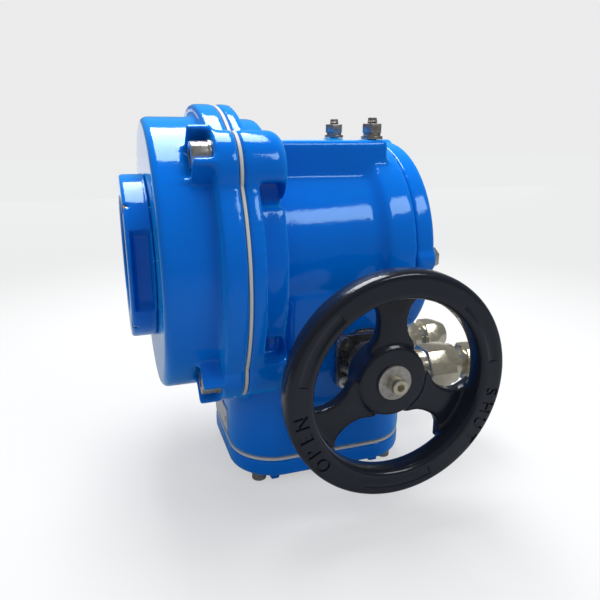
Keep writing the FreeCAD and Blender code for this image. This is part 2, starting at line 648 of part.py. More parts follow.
# Main casting: flange, ears, flare, barrel, rear ring, ridge, worm block and lower housing.
def mainHousing():
    ridge = block("-ridgeEnd - flareEnd + ridgeSunk", "2 * ridgeHalf", "ridgeTop", "flareEnd - ridgeSunk",
                  "-ridgeHalf", "0")
    ridge = rounded(ridge, "ridgeEdge", lambda edge: runsAlong(edge, "x") and edge.BoundBox.ZMin > closeBy)
    worm = block("seam - flareEnd - 2 * blockInset", "blockFront + blockBack",
                 "blockTop - lowerTop + blockSunk", "flareEnd + blockInset", "-blockFront",
                 "lowerTop - blockSunk")
    worm = rounded(worm, "blockEdge", lambda edge: runsAlong(edge, "x") or runsAlong(edge, "z"))
    solids = [
        rod("flangeRadius", "flangeThick", "gasketFace", "0", "-flangeDrop", "x"),
        rod("flareRadius", "flareLength", "flangeBack", "0", "0", "x"),
        rod("barrelRadius", "barrelLength", "flareEnd", "0", "0", "x"),
        taper("barrelRadius", "ringRadius - shoulderStep", "shoulderLength", "barrelEnd", "0", "0", "x"),
        rod("ringRadius", "ringLength", "shoulder", "0", "0", "x"),
        ridge, worm,
        roundedBox("lowerLeft", "lowerRight", "lowerHalf", "lowerFace", "lowerTop", "lowerCorner"),
    ]
    earEnd = number("gasketFace + earLength")
    for y, z in earPlaces:
        ear = rod("earRadius", "earLength", "gasketFace", y, z, "x")
        solids.append(rounded(ear, "earEdge", lambda edge: level(edge, "x", earEnd)))
    for y in ("-", "+"):
        solids.append(rod("stopWasher + seatMargin", "seatPad + over", "stopX", y + "stopHalf",
                          "ridgeTop - over", "z"))
    reliefs = []
    for y in ("-flareRadius", "reliefFloor"):
        for z in ("reliefInner", "-reliefInner - reliefHigh"):
            reliefs.append(block("flareLength", "flareRadius - reliefFloor", "reliefHigh", "flangeBack", y,
                                 z))
    beside = rod("flangeRadius + coverClear", "gasketFace - lowerLeft + over", "lowerLeft - over", "0",
                 "-flangeDrop", "x")
    outside = cut(join(*solids), beside, *reliefs)
    chamber = roundedBox("lowerLeft + housingWall", "lowerRight - housingWall", "lowerInner",
                         "lowerFace - over", "lowerRoof", "lowerInnerCorner")
    corners = [(x, y + "lowerBoltAside") for x in ("lowerBoltLeft", "lowerBoltRight") for y in ("-", "+")]
    bosses = [rod("lowerBoss", "lowerRoof - lowerFace + over", x, y, "lowerFace", "z") for x, y in corners]
    chambers = [
        cut(chamber, *bosses),
        rod("chamberRadius", "partitionFront - gasketFace + over", "gasketFace - over", "0", "0", "x"),
        rod("barrelInner", "seam - partitionBack + over", "partitionBack", "0", "0", "x"),
        rod("frontJournal + bushWall", "partitionThick + 2 * over", "partitionFront - over", "0", "0", "x"),
        rod("wormBore", "blockFront - bearingWide + rearBearing", "wormX", "bearingWide - blockFront",
            "wormZ", "y"),
        rod("bearingRadius", "bearingWide + over", "wormX", "-blockFront - over", "wormZ", "y"),
        rod("bearingRadius", "bearingWide + over", "wormX", "rearBearing", "wormZ", "y"),
        rod("gearRoom", "blockBack - gearStart + gearSide + over", "wormX", "gearStart - gearSide", "wormZ",
            "y"),
        rod("idlerRoom", "gearWide + 2 * gearSide", "idlerX", "gearStart - gearSide", "idlerZ", "y"),
        rod("idlerPin + fit", "pinReach + tapSpare", "idlerX", "gearEnd", "idlerZ", "y"),
    ]
    for chamber in chambers:
        outside = cut(outside, chamber)
    hollows = []
    for y, z in coverBoltPlaces:
        hollows.append(rod("coverBolt + fit", "coverBoltReach + tapSpare", "gasketFace", y, z, "x"))
    for x, z in quadrants:
        hollows.append(rod("smallScrew + fit", "smallReach + tapSpare", "wormX %s bearingPlateScrewX" % x,
                           "-blockFront", "wormZ %s bearingPlateScrewZ" % z, "y"))
        hollows.append(rod("smallScrew + fit", "smallReach + tapSpare", "wormX %s capScrewOffset" % x,
                           "blockBack", "wormZ %s capScrewOffset" % z, "-y"))
    for y, z in plateBoltPlaces:
        hollows.append(rod("plateBolt + fit", "plateBoltReach + tapSpare", "seam", y, z, "-x"))
    for x, y in corners:
        hollows.append(rod("bottomBolt + fit", "bottomBoltReach + tapSpare", x, y, "lowerFace", "z"))
    for side in ("-", "+"):
        hollows.append(rod("stopScrew + running", "ridgeTop + seatPad + over", "stopX", side + "stopHalf",
                           "0", "z"))
        hollows.append(rod("smallScrew + fit", "bracketScrewReach + tapSpare", "partitionFront",
                           side + "bracketScrewY", "shelfLevel + bracketScrewZ", "x"))
        hollows.append(rod("rivetRadius + fit", "rivetReach + tapSpare", "lowerLeft",
                           side + "(labelHalf - rivetIn)", "labelTop - labelHigh / 2", "x"))
        hollows.append(rod("smallScrew + fit", "mountScrewReach + tapSpare",
                           "motorX %s mountScrewAside" % side, "mountFront - mountFoot / 2", "lowerRoof",
                           "z"))
    for y, z in (("nearGlandY", "nearGlandZ"), ("farGlandY", "farGlandZ")):
        hollows.append(rod("glandThread", "glandThreadLong + over", "lowerRight", y, z, "-x"))
    return finish("main_housing", cut(outside, *hollows))


# A block that points outwards from the output axis at one cover bolt. Its start and end are measured
# from the bolt, and its level along X is the front of the lug or beyond it.
def lugBlock(y, z, begin, end, half, front, long):
    away = math.degrees(math.atan2(number(z), number(y)))
    arm = block(long, "(%s) - (%s)" % (end, begin), "2 * (%s)" % half, front, begin, "-(%s)" % half)
    pair = doc.addObject("Part::Compound", "pointed")
    pair.Links = [arm]
    return put(pair, "0", y, z, FreeCAD.Rotation(vector(1, 0, 0), away))


# Indicator cover: a cup with its flange and four lugs, whose channels for the bolt heads open outwards.
def indicatorCover():
    cup = turned("x", [("coverFace", "coverInner"), ("coverFace", "coverRadius"),
                       ("coverFront", "coverRadius"),
                       ("coverFront", "windowBore"), ("coverFront + coverTop", "windowBore"),
                       ("coverFront + coverTop", "coverInner")])
    front = number("coverFront")
    outer = number("coverRadius")
    cup = softened(cup, "coverEdge", lambda edge: level(edge, "x",
                                                        front) and edge.BoundBox.YMax > outer - closeBy)
    solids = [cup, rod("flangeRadius", "coverFlange", "coverFlangeFront", "0", "-flangeDrop", "x")]
    hollows = []
    lugFront = "coverFlangeFront - lugLength"
    for y, z in earPlaces:
        solids.append(rod("earRadius", "coverFlange", "coverFlangeFront", y, z, "x"))
    for y, z in coverBoltPlaces:
        solids.append(lugBlock(y, z, "-lugHalf", "lugOutside", "lugHalf", lugFront, "lugLength + over"))
        hollows.append(rod("coverBolt + fit", "coverFlange + 2 * over", "coverFlangeFront - over", y, z,
                           "x"))
        hollows.append(lugBlock(y, z, "-lugInside", "lugOutside + over", "lugPocket", lugFront + " - over",
                                "lugLength + over"))
    hollows.append(rod("coverInner", "coverDepth - coverTop + over", "coverFront + coverTop", "0", "0",
                       "x"))
    for y, z in quadrants:
        hollows.append(rod("smallScrew + fit", "coverTop + 2 * over", "coverFront - over",
                           y + "windowScrewOffset", z + "windowScrewOffset", "x"))
    return finish("indicator_cover", cut(join(*solids), *hollows))


def coverGasket():
    solids = [rod("flangeRadius - gasketInset", "gasketThick", "coverFace", "0", "-flangeDrop", "x")]
    hollows = [rod("coverInner", "gasketThick + 2 * over", "coverFace - over", "0", "0", "x")]
    for y, z in earPlaces:
        solids.append(rod("earRadius - gasketInset", "gasketThick", "coverFace", y, z, "x"))
    for y, z in coverBoltPlaces:
        hollows.append(rod("coverBolt + fit", "gasketThick + 2 * over", "coverFace - over", y, z, "x"))
    return finish("cover_gasket", cut(join(*solids), *hollows))


def coverBolts():
    bolts = []
    washers = []
    for y, z in coverBoltPlaces:
        bolts.append(capScrew("coverBolt", "gasketFace - coverBoltSeat + coverBoltReach", "coverBoltHead",
                              "coverBoltHigh", "coverSocket", "coverBoltSeat", y, z, "x"))
        washers.append(tube("x", "coverBoltSeat", "coverFlangeFront", "coverBolt + fit", "coverWasher", "0",
                            y, z))
    finish("cover_bolts", together(bolts))
    finish("cover_bolt_washers", together(washers))


# Window ring with a lip over the glass and a finger pocket on each side.
def windowParts():
    ring = turned("x", [("windowFront", "windowBore"), ("glassBack - glassThick", "windowBore"),
                        ("glassBack - glassThick", "glassRadius + fit"),
                        ("coverFront", "glassRadius + fit"),
                        ("coverFront", "windowRadius + windowFoot"),
                        ("coverFront - windowFootHigh", "windowRadius + windowFoot"),
                        ("coverFront - windowFootHigh", "windowRadius"), ("windowFront", "windowRadius")])
    front = number("windowFront")
    ring = softened(ring, "windowEdge", lambda edge: level(edge, "x", front))
    hollows = []
    for away in (0, 180):
        pocket = sized("Part::Wedge", "pocket", Xmin="windowFront + pocketLand",
                       Xmax="coverFront - windowFootHigh", X2min="windowFront + pocketLand",
                       X2max="coverFront - windowFootHigh", Ymin="pocketFloor",
                       Ymax="pocketFloor + pocketDepth", Zmin="-pocketHalf", Zmax="pocketHalf",
                       Z2min="-pocketMouth", Z2max="pocketMouth")
        pocket.Placement = FreeCAD.Placement(vector(0, 0, 0), FreeCAD.Rotation(vector(1, 0, 0), away))
        hollows.append(pocket)
    places = [(y + "windowScrewOffset", z + "windowScrewOffset") for y, z in quadrants]
    for y, z in places:
        hollows.append(rod("smallScrew + fit", "windowHeight + 2 * over", "windowFront - over", y, z, "x"))
        hollows.append(rod("smallHead + fit", "smallHeadHigh + screwSunk + over", "windowFront - over", y,
                           z, "x"))
    finish("window_ring", cut(ring, *hollows))
    finish("window_glass", rod("glassRadius", "glassThick", "glassBack - glassThick", "0", "0", "x"))
    finish("window_seal", tube("x", "glassBack", "coverFront", "windowBore", "glassRadius"))
    screws = [capScrew("smallScrew", "windowHeight + coverTop - smallHeadHigh - screwSunk", "smallHead",
                       "smallHeadHigh", "smallSocket", "windowFront + smallHeadHigh + screwSunk", y, z, "x")
              for y, z in places]
    finish("window_screws", together(screws))


# Base plate: spigot and bush boss inside, raised pad with its centring recess outside.
def basePlate():
    plate = turned("x", [("bushBack", "journalRadius + bushWall"), ("sealBack", "journalRadius + bushWall"),
                         ("sealBack", "journalRadius + sealWall"),
                         ("-recessDepth", "journalRadius + sealWall"),
                         ("-recessDepth", "recessRadius"), ("0", "recessRadius"), ("0", "padRadius"),
                         ("plateFace", "padRadius"), ("plateFace", "plateRadius"), ("seam", "plateRadius"),
                         ("seam", "barrelInner - fit"), ("seam - spigotLength", "barrelInner - fit"),
                         ("seam - spigotLength", "bushBoss"), ("bushBack", "bushBoss")])
    face = number("plateFace")
    edge = number("plateRadius")
    plate = softened(plate, "plateEdge", lambda item: level(item, "x",
                                                            face) and item.BoundBox.YMax > edge - closeBy)
    lugs = []
    holes = []
    bolts = []
    for y, z in plateBoltPlaces:
        lugs.append(rod("plateLugRadius", "plateThick", "seam", y, z, "x"))
        holes.append(rod("plateBolt + fit", "plateThick + 2 * over", "seam - over", y, z, "x"))
        bolts.append(join(rod("plateBolt", "plateThick + plateBoltReach", "plateFace", y, z, "-x"),
                          hexagon("plateBoltFlats", "plateBoltHigh", "plateFace", y, z, "x")))
    for y, z in quadrants:
        holes.append(rod("valveThread", "valveThreadDepth", "0", y + "valveOffset", z + "valveOffset",
                         "-x"))
    finish("base_plate", cut(join(plate, *lugs), *holes))
    finish("base_plate_bolts", together(bolts))
    finish("rear_bush", tube("x", "bushBack", "sealBack", "journalRadius + running",
                             "journalRadius + bushWall"))
    finish("shaft_seal", tube("x", "sealBack", "-recessDepth", "journalRadius + running",
                              "journalRadius + sealWall"))
    finish("front_bush", tube("x", "partitionFront", "partitionBack", "frontJournal + running",
                              "frontJournal + bushWall"))


# Output sleeve with its keyed bore, and what turns with it.
def outputTrain():
    sleeve = turned("x", [("sleeveEnd", "boreRadius"), ("sleeveEnd", "journalRadius"),
                          ("bushBack - axial", "journalRadius"), ("bushBack - axial", "seatRadius"),
                          ("wheelFront", "seatRadius"), ("wheelFront", "collarRadius"),
                          ("wheelFront - collarThick", "collarRadius"),
                          ("wheelFront - collarThick", "frontJournal"),
                          ("sleeveFront", "frontJournal"), ("sleeveFront", "indicatorSpigot + fit"),
                          ("sleeveFront + indicatorSeat + tapSpare", "indicatorSpigot + fit"),
                          ("sleeveFront + indicatorSeat + tapSpare", "0"), ("sleeveEnd - boreDepth", "0"),
                          ("sleeveEnd - boreDepth", "boreRadius")])
    boreKey = block("boreDepth", "keyWide", "boreRadius + keyDeep", "sleeveEnd - boreDepth", "-keyWide / 2",
                    "0")
    keyLong = "stopX + camThick / 2 - wheelFront"
    slotLevel = "-seatRadius - keyDeep"
    slotHalf = "-keyWide / 2 - fit"
    keySlot = block(keyLong, "keyWide + 2 * fit", "2 * keyDeep", "wheelFront", slotHalf, slotLevel)
    finish("output_sleeve", cut(sleeve, boreKey, keySlot))
    finish("wheel_key", block(keyLong, "keyWide", "2 * keyDeep - 2 * fit", "wheelFront", "-keyWide / 2",
                              slotLevel + " + fit"))
    rim = gear(round(number("wheelTeeth")), "wheelTip", "seatRadius", "wheelFront", "wheelWide", "x", "0",
               "0", "0", 0.5)
    wheelSlot = block("wheelWide + 2 * over", "keyWide + 2 * fit", "2 * keyDeep", "wheelFront - over",
                      slotHalf, slotLevel)
    finish("worm_wheel", cut(rim, wheelSlot))
    camFront = "stopX - camThick / 2"
    disc = rod("seatRadius + camHub", "camThick", camFront, "0", "0", "x")
    sector = doc.addObject("Part::Common", "sector")
    sector.Base = rod("camRadius", "camThick", camFront, "0", "0", "x")
    sector.Tool = block("camThick", "camRadius", "camRadius", camFront, "0", "-camRadius")
    camBore = rod("seatRadius", "camThick + 2 * over", camFront + " - over", "0", "0", "x")
    camSlot = block("camThick + 2 * over", "keyWide + 2 * fit", "2 * keyDeep", camFront + " - over",
                    slotHalf, slotLevel)
    finish("stop_cam", cut(join(disc, sector), camBore, camSlot))
    finish("indicator_shaft", turned("x", [("sleeveFront + indicatorSeat", "0"),
                                           ("sleeveFront + indicatorSeat", "indicatorSpigot"),
                                           ("sleeveFront", "indicatorSpigot"),
                                           ("sleeveFront", "indicatorRadius"),
                                           ("dialBack", "indicatorRadius"), ("dialBack", "dialSeat"),
                                           ("dialFront", "dialSeat"), ("dialFront", "indicatorRadius"),
                                           ("dialFront - dialCap", "indicatorRadius"),
                                           ("dialFront - dialCap", "0")]))
    finish("indicator_dial", tube("x", "dialFront", "dialBack", "dialSeat + fit", "dialRadius"))
    cams = []
    for begin, turn in (("limitCamStart", 0), ("limitCamStart - limitCamPitch", 90)):
        disc = rod("limitCamRadius", "limitCamThick", begin, "0", "0", "-x")
        flat = block("limitCamThick + 2 * over", "limitCamRadius", "2 * limitCamRadius",
                     begin + " - limitCamThick - over", "limitCamFlat", "-limitCamRadius")
        turnedFlat = doc.addObject("Part::Compound", "flat")
        turnedFlat.Links = [flat]
        turnedFlat.Placement = FreeCAD.Placement(vector(0, 0, 0), FreeCAD.Rotation(vector(1, 0, 0), turn))
        hole = rod("indicatorRadius + fit", "limitCamThick + 2 * over", begin + " + over", "0", "0", "-x")
        cams.append(cut(disc, turnedFlat, hole))
    finish("limit_cams", together(cams))


# Two long stop screws reach the flanks of the stop cam and are locked by nuts on the ridge.
def stopScrews():
    nuts = []
    flats = []
    springs = []
    for label, y in (("stop_screw_near", "-stopHalf"), ("stop_screw_far", "stopHalf")):
        screw = rod("stopScrew", "ridgeTop + stopProud - 2 * axial", "stopX", y, "axial", "z")
        slot = block("slotWide", "4 * stopScrew", "slotDeep + over", "stopX - slotWide / 2",
                     y + " - 2 * stopScrew", "ridgeTop + stopProud - axial - slotDeep")
        finish(label, cut(screw, slot))
        nut = hexagon("stopNutFlats", "stopNutHigh", "stopX", y, "stopNutLevel", "z")
        hole = rod("stopScrew + running", "stopNutHigh + 2 * over", "stopX", y, "stopNutLevel - over", "z")
        nuts.append(cut(nut, hole))
        flats.append(tube("z", "ridgeTop + seatPad", "springLevel", "stopScrew + running", "stopWasher",
                          "stopX", y))
        spring = tube("z", "springLevel", "stopNutLevel", "stopScrew + running", "springWasher", "stopX", y)
        gap = block("springWasher + over", "springGap", "washerThick", "stopX", y + " - springGap / 2",
                    "springLevel")
        springs.append(cut(spring, gap))
    finish("stop_screw_nuts", together(nuts))
    finish("stop_screw_washers", together(flats))
    finish("stop_screw_spring_washers", together(springs))


# Bottom cover with its gasket, corner bolts and the guard lugs that the part stands on.
def bottomParts():
    corners = [(x, y + "lowerBoltAside") for x in ("lowerBoltLeft", "lowerBoltRight") for y in ("-", "+")]
    gasketPlate = roundedBox("lowerLeft + gasketInset", "lowerRight - gasketInset",
                             "lowerHalf - gasketInset", "bottomTop", "lowerFace",
                             "lowerCorner - gasketInset")
    window = roundedBox("lowerLeft + housingWall", "lowerRight - housingWall", "lowerInner",
                        "bottomTop - over", "lowerFace + over", "lowerInnerCorner")
    bosses = [rod("lowerBoss", "gasketThick + 4 * over", x, y, "bottomTop - 2 * over", "z") for x,
              y in corners]
    window = cut(window, *bosses)
    holes = [rod("bottomBolt + fit", "gasketThick + 2 * over", x, y, "bottomTop - over", "z") for x,
             y in corners]
    finish("bottom_gasket", cut(gasketPlate, window, *holes))
    tray = roundedBox("lowerLeft", "lowerRight", "lowerHalf", "bottomFace", "bottomTop", "lowerCorner")
    under = number("bottomFace")
    tray = rounded(tray, "bottomEdge", lambda edge: level(edge, "z", under))
    inside = roundedBox("lowerLeft + housingWall", "lowerRight - housingWall", "lowerInner", "bottomFloor",
                        "bottomTop + over", "lowerInnerCorner")
    trayBosses = [rod("lowerBoss", "bottomDepth + 2 * over", x, y, "bottomFace", "z") for x, y in corners]
    inside = cut(inside, *trayBosses)
    feet = []
    trayHoles = []
    bolts = []
    for x, y in corners:
        aside = " + footAside" if x == "lowerBoltLeft" else " - footAside - footWide"
        feet.append(block("footWide", "footLong", "footDrop + over", x + aside, y + " - footLong / 2",
                          "bottomFace - footDrop"))
        trayHoles.append(rod("bottomBolt + fit", "bottomDepth + 2 * over", x, y, "bottomFace - over", "z"))
        bolts.append(capScrew("bottomBolt", "bottomDepth + gasketThick + bottomBoltReach", "bottomBoltHead",
                              "bottomBoltHigh", "bottomSocket", x, y, "bottomFace", "z"))
    finish("bottom_cover", cut(join(cut(tray, inside), *feet), *trayHoles))
    finish("bottom_cover_bolts", together(bolts))


# Worm shaft through its two bearings, from the handwheel hub to the drive gear.
def wormShaft():
    core = turned("y", [("hubFront + axial", "0"), ("hubFront + axial", "shaftRadius"),
                        ("bossFront", "shaftRadius"),
                        ("bossFront", "bearingSeat"), ("frontBearing + bearingWide", "bearingSeat"),
                        ("frontBearing + bearingWide", "wormRelief"), ("-wormHalf", "wormRelief"),
                        ("-wormHalf", "wormRoot"), ("wormHalf", "wormRoot"), ("wormHalf", "wormRelief"),
                        ("rearBearing", "wormRelief"), ("rearBearing", "bearingSeat"),
                        ("rearBearing + bearingWide", "bearingSeat"),
                        ("rearBearing + bearingWide", "shaftRadius"),
                        ("gearEnd + shaftTail", "shaftRadius"), ("gearEnd + shaftTail", "0")], "wormX", "0",
                        "wormZ")
    lead = 2 * math.pi * number("wheelPitch") / number("wheelTeeth")
    root = number("wormRoot - threadSunk")
    crest = number("wormTip")
    path = Part.makeHelix(lead, number("2 * wormHalf") - lead, root)
    corners = [vector(root, 0, -rootShare * lead), vector(crest, 0, -tipShare * lead),
               vector(crest, 0, tipShare * lead), vector(root, 0, rootShare * lead)]
    outline = Part.makePolygon(corners + corners[:1])
    sweep = Part.BRepOffsetAPI.MakePipeShell(Part.Wire(path))
    sweep.setFrenetMode(True)
    sweep.add(outline)
    sweep.build()
    sweep.makeSolid()
    thread = doc.addObject("Part::Feature", "thread")
    thread.Shape = sweep.shape()
    put(thread, "wormX", "%.9f - wormHalf" % (lead / 2), "wormZ", turns["y"])
    hole = rod("wheelScrew + fit", "wheelScrewReach + tapSpare", "wormX", "hubFront", "wormZ", "y")
    slot = block("hubKeyWide + 2 * fit", "hubDeep", "hubKeyHigh + 2 * fit", "wormX - hubKeyWide / 2 - fit",
                 "hubFront", "wormZ + shaftRadius - hubKeyDeep - fit")
    finish("worm_shaft", cut(join(core, thread), hole, slot))
    finish("hub_key", block("hubKeyWide", "hubDeep - 2 * hubKeyIn - axial", "hubKeyHigh",
                            "wormX - hubKeyWide / 2", "hubFront + hubKeyIn + axial",
                            "wormZ + shaftRadius - hubKeyDeep"))
    for label, front in (("front_worm_bearing", "frontBearing"), ("rear_worm_bearing", "rearBearing")):
        back = front + " + bearingWide"
        outer = tube("y", front, back, "bearingRadius - bearingRing", "bearingRadius", "wormX", "0",
                     "wormZ")
        inner = tube("y", front, back, "bearingSeat + running", "bearingSeat + running + bearingRing",
                     "wormX", "0", "wormZ")
        shield = tube("y", front + " + shieldIn", back + " - shieldIn", "bearingSeat + bearingRing",
                      "bearingRadius - bearingRing", "wormX", "0", "wormZ")
        finish(label, join(outer, shield, inner))
    finish("drive_gear", gear(round(number("2 * gearPitch / gearModule")), "gearPitch - meshGap / 2",
                              "shaftRadius", "gearStart", "gearWide", "y", "wormX", "0", "wormZ"))


# Handwheel: rim, hub and three spokes behind the front of the hub.
def handwheel():
    rim = tube("y", "rimFront", "rimBack", "rimInner", "rimRadius", "wormX", "0", "wormZ")
    rim = softened(rim, "rimEdge", lambda edge: "Circle" in edge.Curve.TypeId)
    hub = tube("y", "hubFront", "hubBack", "shaftRadius + fit / 2", "hubRadius", "wormX", "0", "wormZ")
    spokes = []
    for turn in (-90, 30, 150):
        arm = block("(rimRadius + rimInner) / 2 - spokeRoot", "spokeDeep", "spokeWide", "spokeRoot",
                    "hubFront + spokeSet", "-spokeWide / 2")
        arm = rounded(arm, "spokeEdge", lambda edge: runsAlong(edge, "x"))
        spoke = doc.addObject("Part::Compound", "spoke")
        spoke.Links = [arm]
        spokes.append(put(spoke, "wormX", "0", "wormZ", FreeCAD.Rotation(vector(0, 1, 0), turn)))
    slot = block("hubKeyWide + 2 * fit", "hubDeep + 2 * over", "hubKeyHigh + 2 * fit",
                 "wormX - hubKeyWide / 2 - fit", "hubFront - over",
                 "wormZ + shaftRadius - hubKeyDeep - fit")
    finish("handwheel", cut(join(rim, hub, *spokes), slot))
    finish("handwheel_washer", tube("y", "hubFront - wheelWasherThick", "hubFront", "wheelScrew + fit",
                                    "wheelWasher", "wormX", "0", "wormZ"))
    finish("handwheel_screw", capScrew("wheelScrew", "wheelWasherThick + wheelScrewReach", "wheelScrewHead",
                                       "wheelScrewHigh", "wheelSocket", "wormX",
                                       "hubFront - wheelWasherThick", "wormZ", "y"))


# Bearing plate under the handwheel and the cap behind the worm shaft.
def shaftCovers():
    plate = block("bearingPlateWide", "bearingPlateThick", "bearingPlateHigh",
                  "wormX - bearingPlateWide / 2", "bearingPlateFront", "wormZ - bearingPlateHigh / 2")
    plate = rounded(plate, "bearingPlateEdge", lambda edge: runsAlong(edge, "y"))
    boss = rod("bearingBoss", "bearingBossProud", "wormX", "bearingPlateFront", "wormZ", "-y")
    holes = [rod("bearingSeat + running", "bearingPlateThick + bearingBossProud + 2 * over", "wormX",
                 "over - blockFront", "wormZ", "-y")]
    screws = []
    capScrews = []
    cap = rod("capRadius", "capThick", "wormX", "blockBack", "wormZ", "y")
    spigot = rod("gearRoom - fit", "capSpigot", "wormX", "blockBack", "wormZ", "-y")
    capHoles = []
    for x, z in quadrants:
        place = ("wormX %s bearingPlateScrewX" % x, "wormZ %s bearingPlateScrewZ" % z)
        holes.append(rod("smallScrew + fit", "bearingPlateThick + 2 * over", place[0], "over - blockFront",
                         place[1], "-y"))
        screws.append(capScrew("smallScrew", "bearingPlateThick + smallReach", "smallHead", "smallHeadHigh",
                               "smallSocket", place[0], "bearingPlateFront", place[1], "y"))
        place = ("wormX %s capScrewOffset" % x, "wormZ %s capScrewOffset" % z)
        capHoles.append(rod("smallScrew + fit", "capThick + 2 * over", place[0], "blockBack - over",
                            place[1], "y"))
        capScrews.append(capScrew("smallScrew", "capThick + smallReach", "smallHead", "smallHeadHigh",
                                  "smallSocket", place[0], "blockBack + capThick", place[1], "-y"))
    finish("bearing_plate", cut(join(plate, boss), *holes))
    finish("bearing_plate_screws", together(screws))
    finish("rear_cap", cut(join(cap, spigot), *capHoles))
    finish("rear_cap_screws", together(capScrews))


# Motor on its bracket, with the idler between its pinion and the drive gear.
def motorDrive():
    motorBack = "mountFront - motorLength"
    case = turned("y", [(motorBack, "0"), (motorBack, "motorRadius"), ("mountFront", "motorRadius"),
                        ("mountFront", "motorShaft + 2 * running"),
                        ("mountFront - motorWall", "motorShaft + 2 * running"),
                        ("mountFront - motorWall", "motorRadius - motorWall"),
                        (motorBack + " + motorWall", "motorRadius - motorWall"),
                        (motorBack + " + motorWall", "0")],
                  "motorX", "0", "motorZ")
    finish("motor_case", case)
    upright = block("2 * mountHalf", "mountThick", "lowerRoof - motorZ + motorRadius", "motorX - mountHalf",
                    "mountFront", "motorZ - motorRadius")
    foot = block("2 * mountHalf", "mountFoot", "mountThick", "motorX - mountHalf", "mountFront - mountFoot",
                 "lowerRoof - mountThick")
    window = rod("mountHole", "mountThick + 2 * over", "motorX", "mountFront - over", "motorZ", "y")
    pinHole = rod("idlerPin + fit / 2", "mountThick + 2 * over", "idlerX", "mountFront - over", "idlerZ",
                  "y")
    screws = []
    holes = []
    for side in ("-", "+"):
        place = ("motorX %s mountScrewAside" % side, "mountFront - mountFoot / 2")
        holes.append(rod("smallScrew + fit", "mountThick + 2 * over", place[0], place[1],
                         "lowerRoof + over", "-z"))
        screws.append(capScrew("smallScrew", "mountThick + mountScrewReach", "smallHead", "smallHeadHigh",
                               "smallSocket", place[0], place[1], "lowerRoof - mountThick", "z"))
    finish("motor_bracket", cut(join(upright, foot), window, pinHole, *holes))
    finish("motor_bracket_screws", together(screws))
    finish("idler_pin", rod("idlerPin", "gearEnd + pinReach - mountFront", "idlerX", "mountFront", "idlerZ",
                            "y"))
    finish("idler_gear", gear(round(number("2 * idlerPitch / gearModule")), "idlerPitch - meshGap / 2",
                              "idlerPin + running", "gearStart", "gearWide", "y", "idlerX", "0", "idlerZ"))
    rotor = turned("y", [(motorBack + " + rotorIn", "0"), (motorBack + " + rotorIn", "rotorRadius"),
                         ("mountFront - rotorIn", "rotorRadius"), ("mountFront - rotorIn", "motorShaft"),
                         ("gearEnd", "motorShaft"), ("gearEnd", "0")], "motorX", "0", "motorZ")
    pinion = gear(round(number("2 * pinionPitch / gearModule")), "pinionPitch - meshGap / 2",
                  "motorShaft / 2", "gearStart", "gearWide", "y", "motorX", "0", "motorZ", 0.5)
    finish("motor_rotor", join(rotor, pinion))


# Two cable glands: hexagonal body, round collar, neck and clamping nut round a rubber sleeve.
def cableGlands():
    bodies = []
    nuts = []
    sleeves = []
    upright = turns["x"] * FreeCAD.Rotation(vector(0, 0, 1), 30)
    bore = "cableRadius + sleeveWall"
    for y, z in (("nearGlandY", "nearGlandZ"), ("farGlandY", "farGlandZ")):
        stem = turned("x", [("glandRoot", bore), ("glandNutStart", bore), ("glandNutStart", "glandNeck"),
                            ("glandCollarEnd", "glandNeck"), ("glandCollarEnd", "glandCollar"),
                            ("glandHexEnd", "glandCollar"), ("glandHexEnd", "glandBarrel"),
                            ("lowerRight", "glandBarrel"), ("lowerRight", "glandThread"),
                            ("glandRoot", "glandThread")], "0", y, z)
        flats = hexagon("glandFlats", "glandHexLong", "glandHexStart", y, z, "x")
        flats.Placement.Rotation = upright
        hole = rod(bore, "glandHexLong + 2 * over", "glandHexStart - over", y, z, "x")
        bodies.append(join(stem, cut(flats, hole)))
        nut = hexagon("glandNutFlats", "glandNutLong", "glandNutStart", y, z, "x")
        nut.Placement.Rotation = upright
        trimmed = doc.addObject("Part::Common", "trimmed")
        trimmed.Base = nut
        trimmed.Tool = taper("glandNutFlats / 2 + glandNutCone", "glandNutFlats / 2 - glandNutMouth",
                             "glandNutLong", "glandNutStart", y, z, "x")
        nuts.append(cut(trimmed, rod(bore, "glandNutLong + 2 * over", "glandNutStart - over", y, z, "x")))
        sleeves.append(tube("x", "glandHexStart", "glandNutStart + glandNutLong - sleeveIn", "cableRadius",
                            bore, "0", y, z))
    finish("gland_bodies", together(bodies))
    finish("gland_nuts", together(nuts))
    finish("gland_sleeves", together(sleeves))


# Limit switches under their cams, in the front chamber.
def limitSwitches():
    plateFront = "partitionFront - bracketThick"
    back = block("bracketThick", "2 * bracketHalf", "bracketHigh + bracketThick", plateFront,
                 "-bracketHalf", "shelfLevel - bracketThick")
    shelf = block("shelfLong", "2 * bracketHalf", "bracketThick", "partitionFront - shelfLong",
                  "-bracketHalf", "shelfLevel - bracketThick")
    holes = []
    screws = []
    for y in ("-bracketScrewY", "bracketScrewY"):
        level = "shelfLevel + bracketScrewZ"
        holes.append(rod("smallScrew + fit", "bracketThick + 2 * over", plateFront + " - over", y, level,
                         "x"))
        screws.append(capScrew("smallScrew", "bracketThick + bracketScrewReach", "smallHead",
                               "smallHeadHigh", "smallSocket", plateFront, y, level, "x"))
    finish("switch_bracket", cut(join(back, shelf), *holes))
    finish("switch_bracket_screws", together(screws))
    switches = []
    for cam in ("limitCamStart", "limitCamStart - limitCamPitch"):
        middle = cam + " - limitCamThick / 2"
        case = block("switchWide", "switchLong", "switchHigh", middle + " - switchWide / 2",
                     "-switchLong / 2", "shelfLevel")
        button = rod("buttonRadius", "-limitCamRadius - axial - shelfLevel", middle, "0", "shelfLevel", "z")
        switches.append(join(case, button))
    finish("limit_switches", together(switches))


